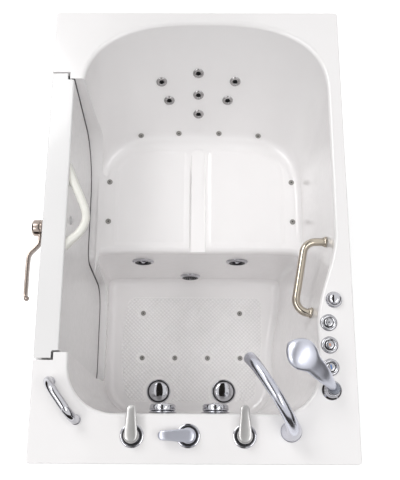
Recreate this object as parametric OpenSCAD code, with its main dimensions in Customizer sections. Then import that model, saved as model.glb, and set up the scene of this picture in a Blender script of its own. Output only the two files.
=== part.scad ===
// Walk-in bathtub with an outward-swing L-shaped door, seat and foot well.
// Modelled round the tub's own centre: X towards the wall side, Y towards the head end,
// Z up from the room floor. The door is on the -X side and the fittings are at the foot end.

/* [Tub] */
// Outside width, from the door side to the wall side
tub_w = 914.4; // [880:1:960]
// Outside length, from the foot end to the head end
tub_l = 1410; // [1390:1:1480]
// Height of the rim above the room floor
rim_h = 965; // [945:1:1000]
// Thickness of the moulded wall
shell_t = 8; // [6:0.5:9]
// Depth of the rim's turned-down flange
flange_h = 45; // [35:1:60]
// Radius of the rim's upright corners
corner_r = 17; // [12:1:28]
// Radius that rounds the rim over into the well
rim_r = 10; // [7:1:12]

/* [Well] */
// Width of the rim on the door side
door_rim = 99; // [96:1:104]
// Width of the rim on the wall side
wall_rim = 42; // [40:1:50]
// Length of the deck at the foot end
foot_deck = 135; // [130:1:150]
// Length of the rim at the middle of the head end
head_rim = 38; // [36:1:50]
// Height of the foot well's floor above the room floor
floor_z = 110; // [108:1:118]
// Height of the seat above the room floor
seat_z = 540; // [530:1:550]
// Distance from the foot end to the seat's front
seat_start = 717; // [712:1:722]
// Radius of the well's corners at the foot end
foot_r = 135; // [110:1:150]
// Radius between the floor and the walls
floor_r = 32; // [25:1:36]
// Radius of the seat's front edge
lip_r = 25; // [18:1:30]
// Radius between the seat and the backrest
back_r = 80; // [60:1:90]
// Backrest lean, as run over rise
back_slope = 0.53; // [0.5:0.01:0.56]
// How far the control deck bulges into the well
deck_bulge = 62; // [50:1:66]
// Width of the drain groove down the middle of the seat
groove_w = 56; // [46:1:60]
// Depth of the drain groove
groove_d = 12; // [8:1:14]

/* [Door] */
// Thickness of the door
door_t = 71; // [68:1:74]
// Thickness of the door's moulded skins
skin_t = 5; // [4:0.5:6]
// Height of the threshold above the well's floor
sill_up = 62; // [58:1:70]
// Drop from the seat to the door's step edge
step_down = 13; // [10:1:16]
// Width of the door's outer flange past its plug
door_flange = 17; // [15:1:18]
// Gap round the door's outer flange
door_gap = 5.5; // [5:0.5:6.5]
// Gap between the door's plug and the jamb
plug_gap = 4; // [3.5:0.5:4.5]
// Thickness of the door seal
seal_t = 6.7; // [6:0.1:6.7]
// Width of the jamb's outer lip
lip_w = 25; // [20:1:30]
// Hinge pin diameter
pin_d = 8; // [6:0.5:9]
// Hinge barrel diameter
barrel_d = 14; // [13:0.5:15]
// Height of each hinge
hinge_h = 90; // [75:1:110]
// Radial clearance of pins and spindles in their bores
fit = 0.06; // [0.03:0.01:0.09]
// How far the door lever stands out past the rim
lever_out = 58; // [56:1:62]
// Travel of the latch bolts
latch_travel = 18; // [14:1:20]
// Diameter of the latch bolts
bolt_d = 10; // [8:1:11]

/* [Fittings] */
// Distance between the deck valves
valve_pitch = 155; // [150:1:160]
// Diameter of the valve flanges
valve_d = 66; // [60:1:70]
// Length of a valve lever from its axis
valve_lever = 82; // [74:1:86]
// Height of a valve's hub above the deck
hub_h = 38; // [32:1:42]
// Spout reach
spout_reach = 226; // [210:1:232]
// Spout height above the deck
spout_h = 165; // [150:1:175]
// Spout tube diameter
spout_d = 26; // [22:1:30]
// Grab bar tube diameter
bar_d = 19; // [17:0.5:22]
// Hand shower head diameter
head_d = 86; // [78:1:90]
// Floor drain flange diameter
drain_d = 94; // [88:1:98]
// Lift of the drain stoppers
stopper_lift = 10; // [8:1:12]
// Overflow knob diameter
overflow_d = 74; // [68:1:76]
// Push button bezel diameter
bezel_d = 49; // [44:1:52]
// Travel of the push buttons
button_travel = 3; // [2:0.5:3.5]
// Foot jet bezel diameter
jet_d = 80; // [74:1:84]
// Back jet bezel diameter
back_jet_d = 37; // [34:1:40]
// Air jet cap diameter
air_jet_d = 20; // [17:1:22]

/* [Base and panels] */
// Size of the base rails' square tube
rail = 30; // [26:1:34]
// Height of the base rails' underside
rail_z = 60; // [58:1:62]
// Size of the uprights' square tube
post = 18; // [16:1:19]
// Thickness of the panels
panel_t = 5; // [4:0.5:6]
// Height of the panels above the room floor
toe_gap = 30; // [20:1:45]
// Waste pipe diameter
waste_d = 40; // [38:1:42]
// Water pipe diameter
pipe_d = 18; // [15:1:20]

/* [Hidden] */
$fn = 48;

eps = 0.01;
hair = 0.3; // clearance between pieces that move past each other
snug = 0.02; // radial clearance of pieces fixed in each other
mid_x = lever_out / 2; // centres the whole object, lever included, on the origin

left_x = -tub_w / 2;
right_x = tub_w / 2;
foot_y = -tub_l / 2;
head_y = tub_l / 2;

// ---- the well ----
well_left = left_x + door_rim;
well_right = right_x - wall_rim;
well_foot = foot_y + foot_deck;
well_head = head_y - head_rim;
seat_y = foot_y + seat_start;
wall_draft = 0.1;
foot_draft = 0.045;
head_curve = 260; // depth of the rounded head end
head_square = 2.6; // how square the head end's curve is at the rim
seat_square = 3.9; // and at the seat
front_curve = 60; // the same two for the foot well's seat side
front_square = 9;
bulge_y = foot_y + 665; // where the control deck starts to bulge
bulge_run = 280;
bulge_floor = 0.56; // share of the bulge that is left at the floor
arc_n = 8;
edge_n = 7;
side_n = 22;
head_n = 28;

// ---- the door's outline, in Y and Z ----
door_x = left_x + door_t; // inner face
sill_z = floor_z + sill_up;
step_z = seat_z - step_down;
edge_lean = 0.16; // run over rise of the head edge
shoulder_x = left_x + door_t - 14; // plane of the jamb's shoulder
flange_x = shoulder_x - seal_t - hair; // inner face of the door's flange
hinge_y = foot_y + 259;
hinge_x = left_x - barrel_d / 2 - 0.5;
leaf_t = 2.5;
hinge_zs = [300, rim_h - 165];
jamb_out = door_flange + door_gap;
low_edge = seat_y - 58; // the head edge at the sill
step_edge = seat_y - 27; // and just under the step
lip_back = 0.5; // how far the jamb's lip sits behind the rim's face
seam_x = flange_x - skin_t; // where the two skins meet
brace_t = 11.5;
brace_w = 28;
brace_y = seat_y - 130;
brace_z = seat_z + 150;
handle_w = 25;
handle_h = 24;
leaf_l = 66;
hinge_screw = 42; // from the hinge's axis to its screws
screw_d = 5;
skirt_in = 3; // how far the skirt sits behind the rim's face

// ---- the door's lever and latch ----
spindle_y = foot_y + 696;
spindle_z = rim_h - 80;
spindle_d = 12;
boss_d = 54;
boss_h = 46;
boss_rose = 12;
blade_t = 10;
blade_w = 24;
cam_t = 6;
blade_x = left_x - 22; // centre of the blade where it leaves the boss
crank_r = latch_travel / 1.4142;
crank_pin = 8;
slide_x = left_x + 22; // outer face of the latch slide
slide_t = 8;
bolt_x = slide_x + slide_t / 2;
slide_w = 18;
slot_play = 0.6;
bolt_play = 0.6;
bolt_reach = latch_travel - door_gap - 0.5; // how far a bolt goes into the jamb
low_bolt_z = 330;
keeper_t = 5;
keeper_w = 28;

// ---- fittings ----
stem_d = 12;
deck_y = foot_y + 75; // line of the deck valves
valve_x = -16; // the diverter, in the middle
panel_x = right_x - 74; // line of the controls on the wall-side deck
button_ys = [foot_y + 390, foot_y + 326, foot_y + 263];
knob_spot = [right_x - 56, foot_y + 457];
holder_spot = [right_x - 74, foot_y + 200];
holder_turn = 142; // direction in which the hand shower leans, from +X
holder_h = 30;
wand_d = 21;
bar_z = rim_h - 100;
bar_ys = [seat_y - 57, seat_y - 280];
bar_off = 72;
bar_flange_t = 12;
bar_flange_r = bar_d / 2 + 12;
flange_sits = 2.4;
bar_sits = 6;
inlet_z = 150;
inlet_l = 14;
inlet_d = 26.4;
stopper_d = 76;
drain_tail = 20;
drain_tail_r = 26.5;
tail_y = foot_y + 65; // end of the waste outlet
spigot_l = 50;
button_d = 24;
insert_d = 46;
jet_sits = 0.5; // gap under a fitting on a curved wall
back_sits = 1; // the same on the backrest
spout_spot = [267, foot_y + 88];
spout_turn = 122; // direction of the spout's reach, from +X
drain_xs = [-150, 106];
drain_y = foot_y + 268;
overflow_xs = [-90, 60];
overflow_z = rim_h - 47;
foot_jet_xs = [-199, 149];
foot_jet_z = seat_z - 128;
suction_x = -28;
suction_z = floor_z + 75;
seat_jet_xs = [-318, 4, 344];
seat_jet_ys = [seat_y + 114, seat_y + 265];
base_jet_xs = [-206, -67, 80, 224];
base_jet_z = seat_z + 32;
floor_jet_xs = [-218, -88, 42, 172];
floor_jet_ys = [seat_y - 318, seat_y - 138];
back_jet_x = 5;
back_jet_spots = [[0, 647], [-103, 700], [0, 719], [103, 700], [-127, 770], [0, 797], [127, 770]];

// ---- base ----
rail_top = rail_z + rail;
frame_x = tub_w / 2 - shell_t; // outer faces of the rails and uprights
frame_y = tub_l / 2 - shell_t;
cross_ys = [-frame_y + rail / 2, seat_y - 382, seat_y - 222, seat_y - 62, seat_y + 33,
            seat_y + 188, seat_y + 420, frame_y - rail / 2];
panel_top = rim_h - flange_h;
waste_z = waste_d / 2 + 10;
post_in = 0.3 * (corner_r - shell_t) + hair; // keeps the posts clear of the rim's corners
leg_xs = [250, 80]; // legs under the seat, to each side
leg_top = seat_z - shell_t - hair - post;
foot_pad_h = 12;
stud_d = 12;
tube_t = 2;
blower_x = well_left + 58;
blower_y = seat_y + 318;
foot_ys = [-frame_y + 55, 0, frame_y - 55];
access_y = [seat_y + 78, seat_y + 608];
access_z = [80, 400];
panel_screw_spots = [for (y = [access_y[0] + 15, (access_y[0] + access_y[1]) / 2, access_y[1] - 15],
  z = [access_z[0] + 15, access_z[1] - 15]) [y, z]];

// ---- functions ----
function lerp(a, b, t) = a + (b - a) * t;
function clamp(t) = max(0, min(1, t));
function smooth(t) = let (c = clamp(t)) c * c * (3 - 2 * c);
function signed_pow(v, e) = sign(v) * pow(abs(v), e);
function unit(v) = v / norm(v);
function cross2(a, b) = a[0] * b[1] - a[1] * b[0];

// One level loop of the well, anticlockwise from above. Its straight sides are divided so
// that the control deck's bulge can bend them.
function well_ring(z, head, curve, square, inset) =
  let (
    depth = rim_h - z,
    x0 = well_left + inset,
    x1 = well_right - wall_draft * depth - inset,
    y0 = well_foot + foot_draft * depth + inset,
    r = foot_r - inset,
    turn = head - curve,
    cx = (x0 + x1) / 2,
    hw = (x1 - x0) / 2,
    bulge = lerp(1, bulge_floor, depth / (rim_h - floor_z)) * deck_bulge,
    loop = concat(
      [for (i = [0:arc_n]) let (a = 180 + 90 * i / arc_n) [x0 + r + r * cos(a), y0 + r + r * sin(a)]],
      [for (i = [1:edge_n - 1]) [lerp(x0 + r, x1 - r, i / edge_n), y0]],
      [for (i = [0:arc_n]) let (a = 270 + 90 * i / arc_n) [x1 - r + r * cos(a), y0 + r + r * sin(a)]],
      [for (i = [1:side_n - 1]) [x1, lerp(y0 + r, turn, pow(i / side_n, 1.5))]],
      [for (i = [0:head_n]) let (a = 180 * i / head_n)
        [cx + hw * signed_pow(cos(a), 2 / square), turn + curve * pow(abs(sin(a)), 2 / square)]],
      [for (i = [1:edge_n - 1]) [x0, lerp(turn, y0 + r, i / edge_n)]]
    )
  )
  [for (p = loop)
    let (pull = bulge * smooth((bulge_y - p[1]) / bulge_run) / hw)
    [p[0] > cx ? cx + (p[0] - cx) * (1 - pull) : p[0], p[1], z]];

function back_line(z) = well_head - back_slope * (rim_h - z);
function square_at(z) = lerp(seat_square, head_square, clamp((z - seat_z) / (rim_h - seat_z)));
back_rise = atan(1 / back_slope);
back_start = back_line(seat_z) - back_r * tan(back_rise / 2);

// The well from its floor to its rim. The same loops grown by g make the wall's other side.
function well_rings(g) = concat(
  [for (a = [0, 30, 60, 90])
    let (inset = floor_r - (floor_r + g) * sin(a))
    well_ring(floor_z + floor_r - (floor_r + g) * cos(a), seat_y - inset, front_curve,
              front_square, inset)],
  [for (a = [0, 30, 55, 78])
    well_ring(seat_z - lip_r + (lip_r - g) * sin(a), seat_y + lip_r - (lip_r - g) * cos(a),
              front_curve, front_square, -g)],
  [for (i = [0:5])
    let (a = back_rise * i / 5, z = seat_z + back_r - (back_r + g) * cos(a))
    well_ring(z, back_start + (back_r + g) * sin(a), head_curve + g,
              square_at(seat_z + back_r * (1 - cos(a))), -g)],
  [for (t = [0.25, 0.5, 0.75])
    let (z = lerp(seat_z + back_r * (1 - cos(back_rise)), rim_h - rim_r, t))
    well_ring(z, back_line(z) + g / sin(back_rise), head_curve + g, square_at(z), -g)]
);

// The finished inside of the well, flared over the rim and on past it
function well_cavity() = concat(
  well_rings(0),
  [for (a = [0, 30, 60, 88])
    let (z = rim_h - rim_r + rim_r * sin(a), out = rim_r * (1 - cos(a)))
    well_ring(z, back_line(z) + out, head_curve + out, head_square, -out)],
  [well_ring(rim_h + 3 * shell_t, back_line(rim_h) + 1.5 * rim_r, head_curve + rim_r,
             head_square, -rim_r)]
);

function well_outside() =
  let (z = rim_h - shell_t / 2)
  concat(
    well_rings(shell_t),
    [well_ring(z, back_line(z) + shell_t / sin(back_rise), head_curve + shell_t, head_square,
               -shell_t)]
  );

// Point of the backrest's surface at x and z, and how fast y changes with x there
function back_at(x, z) =
  let (
    x0 = well_left,
    x1 = well_right - wall_draft * (rim_h - z),
    u = abs(x - (x0 + x1) / 2) / ((x1 - x0) / 2),
    n = square_at(z),
    over = (seat_z + back_r * (1 - cos(back_rise)) - z),
    lift = acos(clamp((seat_z + back_r - z) / back_r)),
    y = over > 0 ? back_start + back_r * sin(lift) : back_line(z)
  )
  y - head_curve + head_curve * pow(1 - pow(u, n), 1 / n);
function back_turn(x, z) = back_at(x + 1, z) - back_at(x, z);
function back_tilt(x, z) = back_at(x, z + 1) - back_at(x, z);

// Point of the wall-side wall at y and z
function wall_at(y, z) =
  let (bulge = lerp(1, bulge_floor, (rim_h - z) / (rim_h - floor_z)) * deck_bulge)
  well_right - wall_draft * (rim_h - z) - bulge * smooth((bulge_y - y) / bulge_run);
function wall_spot(y) = [wall_at(y, bar_z), y, bar_z];
function wall_turn(y) =
  atan((wall_at(y + bar_flange_r, bar_z) - wall_at(y - bar_flange_r, bar_z)) / (2 * bar_flange_r));
wall_lean = atan(wall_draft);

// ---- the door's outline ----
edge_top = head_y - 241;
function door_corners(top) = [
  [edge_top - edge_lean * (rim_h - top), top],
  [hinge_y + 45, top],
  [hinge_y + 24, sill_z],
  [low_edge, sill_z],
  [step_edge, step_z],
  [edge_top - edge_lean * (rim_h - step_z), step_z]
];
door_radii = [0, 0, 60, 95, 45, 200];
door_grow = [0, 1, 1, 1, 1, 1]; // the top edge stays where it is

// Y of the door's head edge at a height, grown by g
function edge_run(z) = z > step_z ? edge_lean : (step_edge - low_edge) / (step_z - sill_z);
function edge_at(z, g) = g * norm([1, edge_run(z)])
  + (z > step_z ? edge_top - edge_lean * (rim_h - z)
                : lerp(low_edge, step_edge, (z - sill_z) / (step_z - sill_z)));

function crossing(p, d, q, e) = p + d * cross2(q - p, e) / cross2(d, e);
function outward(d) = [d[1], -d[0]];

// The outline grown by g, with its corners rounded by arcs
function door_outline(g, top) =
  let (
    c = door_corners(top),
    n = len(c),
    dirs = [for (i = [0:n - 1]) unit(c[(i + 1) % n] - c[i])],
    starts = [for (i = [0:n - 1]) c[i] + outward(dirs[i]) * g * door_grow[i]],
    v = [for (i = [0:n - 1]) let (j = (i + n - 1) % n) crossing(starts[i], dirs[i], starts[j], dirs[j])]
  )
  [for (i = [0:n - 1])
    let (
      j = (i + n - 1) % n,
      turn = cross2(dirs[j], dirs[i]),
      swing = acos(dirs[j] * dirs[i]),
      r = door_radii[i] == 0 ? 0 : max(0, door_radii[i] + g * sign(turn)),
      reach = r * tan(swing / 2),
      centre = v[i] - dirs[j] * reach - outward(dirs[j]) * r * sign(turn),
      steps = r == 0 ? 0 : 10
    )
    for (k = [0:steps])
      r == 0 ? v[i]
      : let (a = sign(turn) * swing * k / steps, o = outward(dirs[j]) * r * sign(turn))
        centre + [o[0] * cos(a) - o[1] * sin(a), o[0] * sin(a) + o[1] * cos(a)]];

// ---- helpers ----
module in_frame() {
  translate([mid_x, 0, 0]) children();
}

// Extrudes a Y-Z outline from x0 to x1
module along_x(x0, x1) {
  translate([x0, 0, 0]) rotate([90, 0, 90]) linear_extrude(x1 - x0) children();
}

module box(x0, x1, y0, y1, z0, z1) {
  translate([x0, y0, z0]) cube([x1 - x0, y1 - y0, z1 - z0]);
}

module pipe_x(x0, x1, y, z, r) {
  translate([x0, y, z]) rotate([0, 90, 0]) cylinder(r = r, h = x1 - x0);
}

module pipe_y(x, y0, y1, z, r) {
  translate([x, y0, z]) rotate([-90, 0, 0]) cylinder(r = r, h = y1 - y0);
}

module pipe_z(x, y, z0, z1, r) {
  translate([x, y, z0]) cylinder(r = r, h = z1 - z0);
}

// A round pipe through a list of points, with a ball-shaped elbow at each bend
module pipe_path(points, r) {
  for (i = [0:len(points) - 2]) {
    v = points[i + 1] - points[i];
    translate(points[i])
      rotate([0, acos(v[2] / norm(v)), atan2(v[1], v[0])])
        cylinder(r = r, h = norm(v));
    if (i > 0) translate(points[i]) sphere(r = 1.15 * r);
  }
}

// A solid whose loops of points follow each other, closed by flat ends
module loft(rings) {
  n = len(rings[0]);
  k = len(rings);
  polyhedron(
    points = [for (r = rings) each r],
    faces = concat(
      [[for (i = [0:n - 1]) i]],
      [for (j = [0:k - 2], i = [0:n - 1]) [j * n + i, (j + 1) * n + i, (j + 1) * n + (i + 1) % n]],
      [for (j = [0:k - 2], i = [0:n - 1]) [j * n + i, (j + 1) * n + (i + 1) % n, j * n + (i + 1) % n]],
      [[for (i = [n - 1:-1:0]) (k - 1) * n + i]]
    )
  );
}

// Loops of an oval section along a path that lies in the plane normal to "flat".
// Each section is [half width in the plane, half width across it].
function sweep_rings(path, sections, flat, sides) =
  [for (i = [0:len(path) - 1])
    let (
      ahead = unit(path[min(i + 1, len(path) - 1)] - path[max(i - 1, 0)]),
      side = unit(cross(ahead, flat)),
      up = unit(cross(side, ahead))
    )
    [for (k = [0:sides - 1])
      let (a = 360 * k / sides)
      path[i] + side * sections[i][0] * cos(a) - up * sections[i][1] * sin(a)]];

// A smooth curve through a few points
function curve_at(p, t) =
  let (n = len(p) - 1, s = min(floor(t * n), n - 1), u = t * n - s,
       a = p[max(s - 1, 0)], b = p[s], c = p[s + 1], d = p[min(s + 2, n)])
  0.5 * ((2 * b) + (c - a) * u + (2 * a - 5 * b + 4 * c - d) * u * u
         + (3 * b - a - 3 * c + d) * u * u * u);
function curve(p, n) = [for (i = [0:n]) curve_at(p, i / n)];

// Puts its children on the backrest, with +Z leaving the surface
module on_back(x, z) {
  away = unit([back_turn(x, z), -1, back_tilt(x, z)]);
  translate([x, back_at(x, z), z])
    rotate([0, acos(away[2]), atan2(away[1], away[0])])
      children();
}

// ---- the shell ----
module deck_outline() {
  s = [tub_w / 2 - corner_r, tub_l / 2 - corner_r];
  square([2 * s[0], tub_l], center = true);
  square([tub_w, 2 * s[1]], center = true);
  for (x = [-s[0], s[0]], y = [-s[1], s[1]]) translate([x, y]) circle(r = corner_r);
}

module deck_outline_inside() {
  r = corner_r - shell_t;
  s = [tub_w / 2 - corner_r, tub_l / 2 - corner_r];
  square([2 * s[0], tub_l - 2 * shell_t], center = true);
  square([tub_w - 2 * shell_t, 2 * s[1]], center = true);
  for (x = [-s[0], s[0]], y = [-s[1], s[1]]) translate([x, y]) circle(r = r);
}

module rim_tray() {
  difference() {
    translate([0, 0, rim_h - flange_h]) linear_extrude(flange_h) deck_outline();
    translate([0, 0, rim_h - flange_h - 1])
      linear_extrude(flange_h - shell_t + 1) deck_outline_inside();
  }
}

// Walls that line the door's opening, with a rebate for the door's flange
module door_jamb() {
  top = rim_h - shell_t / 2;
  difference() {
    union() {
      along_x(left_x + lip_back, left_x + lip_back + shell_t)
        polygon(door_outline(jamb_out + lip_w, top));
      along_x(left_x + 1, shoulder_x + shell_t) polygon(door_outline(jamb_out + shell_t, top));
      along_x(shoulder_x + 1, well_left + shell_t) polygon(door_outline(shell_t, top));
    }
    along_x(left_x - 1, shoulder_x) polygon(door_outline(jamb_out, rim_h + 30));
    along_x(shoulder_x - 1, well_left + shell_t + 1) polygon(door_outline(0, rim_h + 30));
  }
  // the wall under the seat's edge, above the step
  box(well_left, well_left + shell_t, seat_y - 30, seat_y + 400, step_z - shell_t, seat_z - 1);
  // the reveal where the well curves in behind the door's head edge
  difference() {
    intersection() {
      along_x(shoulder_x + 1, well_left + 110) polygon(door_outline(shell_t, top));
      box(shoulder_x, well_left + 120, seat_y, seat_y + 480, seat_z - shell_t, rim_h);
    }
    along_x(shoulder_x - 1, well_left + 111) polygon(door_outline(0, rim_h + 30));
  }
}

module seat_groove(grow, z0) {
  x = back_jet_x - 2;
  w = groove_w / 2 + grow;
  y1 = seat_y + 393 - groove_w / 2;
  box(x - w, x + w, seat_y - 10 + 3 * grow, y1, z0, seat_z + 5 - 2 * grow);
  pipe_z(x, y1, z0, seat_z + 5 - 2 * grow, w);
}

module shell_holes() {
  $fn = 24;
  for (z = [spindle_z, low_bolt_z]) bolt_hole(z);
  for (x = drain_xs) pipe_z(x, drain_y, floor_z - 20, floor_z + 5, 27);
  for (x = foot_jet_xs) pipe_y(x, seat_y - 10, seat_y + 20, foot_jet_z, 29);
  pipe_y(suction_x, seat_y - 10, seat_y + 20, suction_z, 29);
  for (x = overflow_xs) pipe_y(x, well_foot - 20, well_foot + 15, overflow_z, 22);
  for (x = [-1, 0, 1]) pipe_z(valve_x + x * valve_pitch, deck_y, rim_h - 15, rim_h + 5, 17);
  pipe_z(spout_spot[0], spout_spot[1], rim_h - 15, rim_h + 5, 14);
  pipe_z(knob_spot[0], knob_spot[1], rim_h - 15, rim_h + 5, 13);
  pipe_z(holder_spot[0], holder_spot[1], rim_h - 15, rim_h + 5, 15);
  for (y = button_ys) pipe_z(panel_x, y, rim_h - 15, rim_h + 5, 16);
  for (s = back_jet_spots) on_back(back_jet_x + s[0], s[1]) pipe_z(0, 0, -20, 8, 13);
  for (x = seat_jet_xs, y = seat_jet_ys) pipe_z(x, y, seat_z - 30, seat_z + 5, 5.4);
  for (x = base_jet_xs) on_back(x, base_jet_z) pipe_z(0, 0, -22, 8, 5.4);
  for (x = floor_jet_xs) pipe_z(x, floor_jet_ys[0], floor_z - 20, floor_z + 5, 5.4);
  for (x = [floor_jet_xs[0], floor_jet_xs[3]])
    pipe_z(x, floor_jet_ys[1], floor_z - 20, floor_z + 5, 5.4);
}

module tub_shell() {
  color("white") in_frame() difference() {
    union() {
      rim_tray();
      loft(well_outside());
      door_jamb();
      seat_groove(shell_t, seat_z - groove_d - shell_t);
    }
    loft(well_cavity());
    along_x(left_x - 1, shoulder_x) polygon(door_outline(jamb_out, rim_h + 30));
    along_x(shoulder_x - 1, well_left) polygon(door_outline(0, rim_h + 30));
    intersection() {
      along_x(well_left - 1, well_left + 110) polygon(door_outline(0, rim_h + 30));
      box(well_left - 2, well_left + 120, seat_y + 5, seat_y + 480, seat_z, rim_h + 30);
    }
    seat_groove(0, seat_z - groove_d);
    shell_holes();
  }
}

// ---- the door ----
module door_outer_panel() {
  inside = door_flange - skin_t;
  color("white") in_frame() difference() {
    along_x(left_x, seam_x) polygon(door_outline(door_flange, rim_h));
    along_x(left_x + skin_t, seam_x + 1) polygon(door_outline(inside, rim_h - skin_t));
    pipe_x(left_x - 1, left_x + skin_t + 1, spindle_y, spindle_z, spindle_d / 2 + 1);
    for (z = [spindle_z, low_bolt_z]) bolt_hole(z);
    hinge_screw_holes();
  }
}

// The flange that closes the tray, and the plug that fills the jamb
module door_inner_panel() {
  color("white") in_frame() difference() {
    union() {
      along_x(seam_x, flange_x) polygon(door_outline(door_flange, rim_h));
      along_x(flange_x - 1, door_x) polygon(door_outline(-plug_gap, rim_h));
    }
    along_x(seam_x - 1, door_x - skin_t)
      polygon(door_outline(-plug_gap - skin_t, rim_h - skin_t));
  }
}

module door_stiffener() {
  inside = door_flange - skin_t - hair;
  top = rim_h - skin_t - hair;
  x1 = left_x + skin_t + brace_t;
  color("slategray") in_frame() {
    difference() {
      along_x(left_x + skin_t, x1) polygon(door_outline(inside, top));
      along_x(left_x, x1 + 1) polygon(door_outline(inside - brace_w, top - brace_w));
    }
    box(left_x + skin_t, x1, brace_y, brace_y + brace_w, sill_z, top - 1);
    box(left_x + skin_t, x1, hinge_y + 40, edge_at(brace_z, 0), brace_z, brace_z + brace_w);
  }
}

module door_seal() {
  color("dimgray") in_frame() difference() {
    along_x(flange_x, shoulder_x - hair) polygon(door_outline(door_flange - 4, rim_h - 8));
    along_x(flange_x - 1, shoulder_x) polygon(door_outline(2, rim_h + 20));
  }
}

// A white bow that stands off the door's inner face
module door_grab_handle() {
  z = rim_h - 30;
  ends = [left_x + 53, door_x, door_x + 14, door_x + 36, door_x + 52, door_x + 51,
          door_x + 34, door_x + 11, left_x + 52];
  places = [192, 150, 118, 70, 25, -8, -40, -62, -92];
  path = curve([for (i = [0:8]) [ends[i], seat_y - 12 + places[i], z]], 24);
  color("white") in_frame() difference() {
    loft(sweep_rings(path, [for (p = path) [handle_w / 2, handle_h / 2]], [0, 0, 1], 20));
    box(left_x, door_x, seat_y - 150, seat_y + 230, z - 40, z + 40);
  }
}

module door_cap() {
  color("whitesmoke") in_frame() translate([door_x, seat_y + 2, rim_h - 74]) rotate([0, 90, 0])
    rotate_extrude() polygon([[0, 0], [13, 0], [13, 2], [11, 4.2], [7, 5.2], [0, 5.5]]);
}

// ---- hinges ----
module hinge_screw_holes() {
  for (z = hinge_zs, k = [-1, 0, 1])
    pipe_x(left_x - 5, left_x + skin_t + 1, hinge_y + hinge_screw, z + k * hinge_h / 3,
           screw_d / 2 + hair);
}

module knuckle(z0, z1) {
  difference() {
    pipe_z(hinge_x, hinge_y, z0, z1, barrel_d / 2);
    pipe_z(hinge_x, hinge_y, z0 - 1, z1 + 1, pin_d / 2 + fit);
  }
}

// Room for the other leaf's knuckle, with a working gap
module knuckle_room(z0, z1) {
  r = barrel_d / 2 + 2 * hair;
  box(hinge_x - r, hinge_x + r + leaf_t, hinge_y - r, hinge_y + r, z0, z1);
}

module tub_hinge_leaves() {
  third = hinge_h / 3;
  color("silver") in_frame() for (z = hinge_zs) {
    z0 = z - hinge_h / 2;
    knuckle(z0, z0 + third);
    knuckle(z0 + 2 * third, z0 + hinge_h);
    difference() {
      union() {
        box(left_x - hair - leaf_t, left_x - hair, hinge_y - leaf_l, hinge_y, z0, z0 + hinge_h);
        box(left_x - leaf_t, left_x + skirt_in - hair, hinge_y - leaf_l, hinge_y - leaf_l + 40,
            z0, z0 + hinge_h);
      }
      knuckle_room(z0 + third, z0 + 2 * third);
      pipe_z(hinge_x, hinge_y, z0 - 1, z0 + hinge_h + 1, pin_d / 2 + 1);
      for (k = [-1, 0, 1])
        pipe_x(left_x - 5, left_x + 5, hinge_y - leaf_l + 12, z + k * third, screw_d / 2 + hair);
    }
  }
}

module door_hinge_leaves() {
  third = hinge_h / 3;
  gap = hair;
  color("silver") in_frame() for (z = hinge_zs) {
    z0 = z - hinge_h / 2;
    knuckle(z0 + third + gap, z0 + 2 * third - gap);
    difference() {
      box(left_x - hair - leaf_t, left_x - hair, hinge_y, hinge_y + hinge_screw + 12,
          z0, z0 + hinge_h);
      knuckle_room(z0 - 1, z0 + third + gap);
      knuckle_room(z0 + 2 * third - gap, z0 + hinge_h + 1);
      pipe_z(hinge_x, hinge_y, z0 - 1, z0 + hinge_h + 1, pin_d / 2 + 1);
      hinge_screw_holes();
    }
  }
}

module hinge_pins() {
  color("gainsboro") in_frame() for (z = hinge_zs) {
    pipe_z(hinge_x, hinge_y, z - hinge_h / 2 - 2, z + hinge_h / 2 + 2, pin_d / 2);
    for (s = [z - hinge_h / 2 - 2.5, z + hinge_h / 2])
      pipe_z(hinge_x, hinge_y, s, s + 2.5, pin_d / 2 + 1.6);
  }
}

// A pan-head screw whose head sits at the origin and whose shank goes along +X
module screw_x(x, y, z, length) {
  pipe_x(x - 2.2, x, y, z, screw_d * 0.9);
  pipe_x(x - 0.1, x + length, y, z, screw_d / 2);
}

module hinge_screws() {
  color("gainsboro") in_frame() for (z = hinge_zs, k = [-1, 0, 1])
    screw_x(left_x - hair - leaf_t, hinge_y + hinge_screw, z + k * hinge_h / 3,
            leaf_t + hair + skin_t);
}

// ---- the lever and the latch ----
module turned_to_door(x) {
  translate([x, spindle_y, spindle_z]) rotate([0, -90, 0]) rotate_extrude() children();
}

module lever_boss() {
  r = boss_d / 2;
  bore = spindle_d / 2 + fit;
  color("rosybrown") in_frame() turned_to_door(left_x)
    polygon([[bore, 0], [r, 0], [r, boss_rose - 4], [r - 4, boss_rose], [bore, boss_rose]]);
}

module door_lever() {
  x0 = left_x - boss_rose - hair;
  depth = boss_h - boss_rose;
  bore = spindle_d / 2 + snug;
  r = boss_d / 2 - 2;
  out_x = left_x - lever_out + blade_t / 2;
  path = curve([[blade_x, spindle_y - 14], [blade_x, spindle_y - 48], [blade_x - 12, spindle_y - 66],
                [out_x + 4, spindle_y - 84], [out_x, spindle_y - 112], [out_x, spindle_y - 222]], 24);
  sides = [for (i = [0:len(path) - 1])
    let (d = unit(path[min(i + 1, 24)] - path[max(i - 1, 0)])) [-d[1], d[0]] * blade_t / 2];
  color("rosybrown") in_frame() {
    turned_to_door(x0)
      polygon([[bore, 0], [r, 0], [r + 1, 2], [r + 1, depth - 6], [r - 4, depth], [0, depth],
               [0, depth - 8], [bore, depth - 8]]);
    difference() {
      translate([0, 0, spindle_z - blade_w / 2]) linear_extrude(blade_w)
        polygon(concat([for (i = [0:24]) path[i] + sides[i]],
                       [for (i = [24:-1:0]) path[i] - sides[i]]));
      pipe_x(x0 - depth + 1, x0 + 1, spindle_y, spindle_z, boss_d / 2 - 4);
    }
    translate([out_x + 3, spindle_y - 222, spindle_z]) sphere(r = blade_t / 2 + 3);
  }
}

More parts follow.
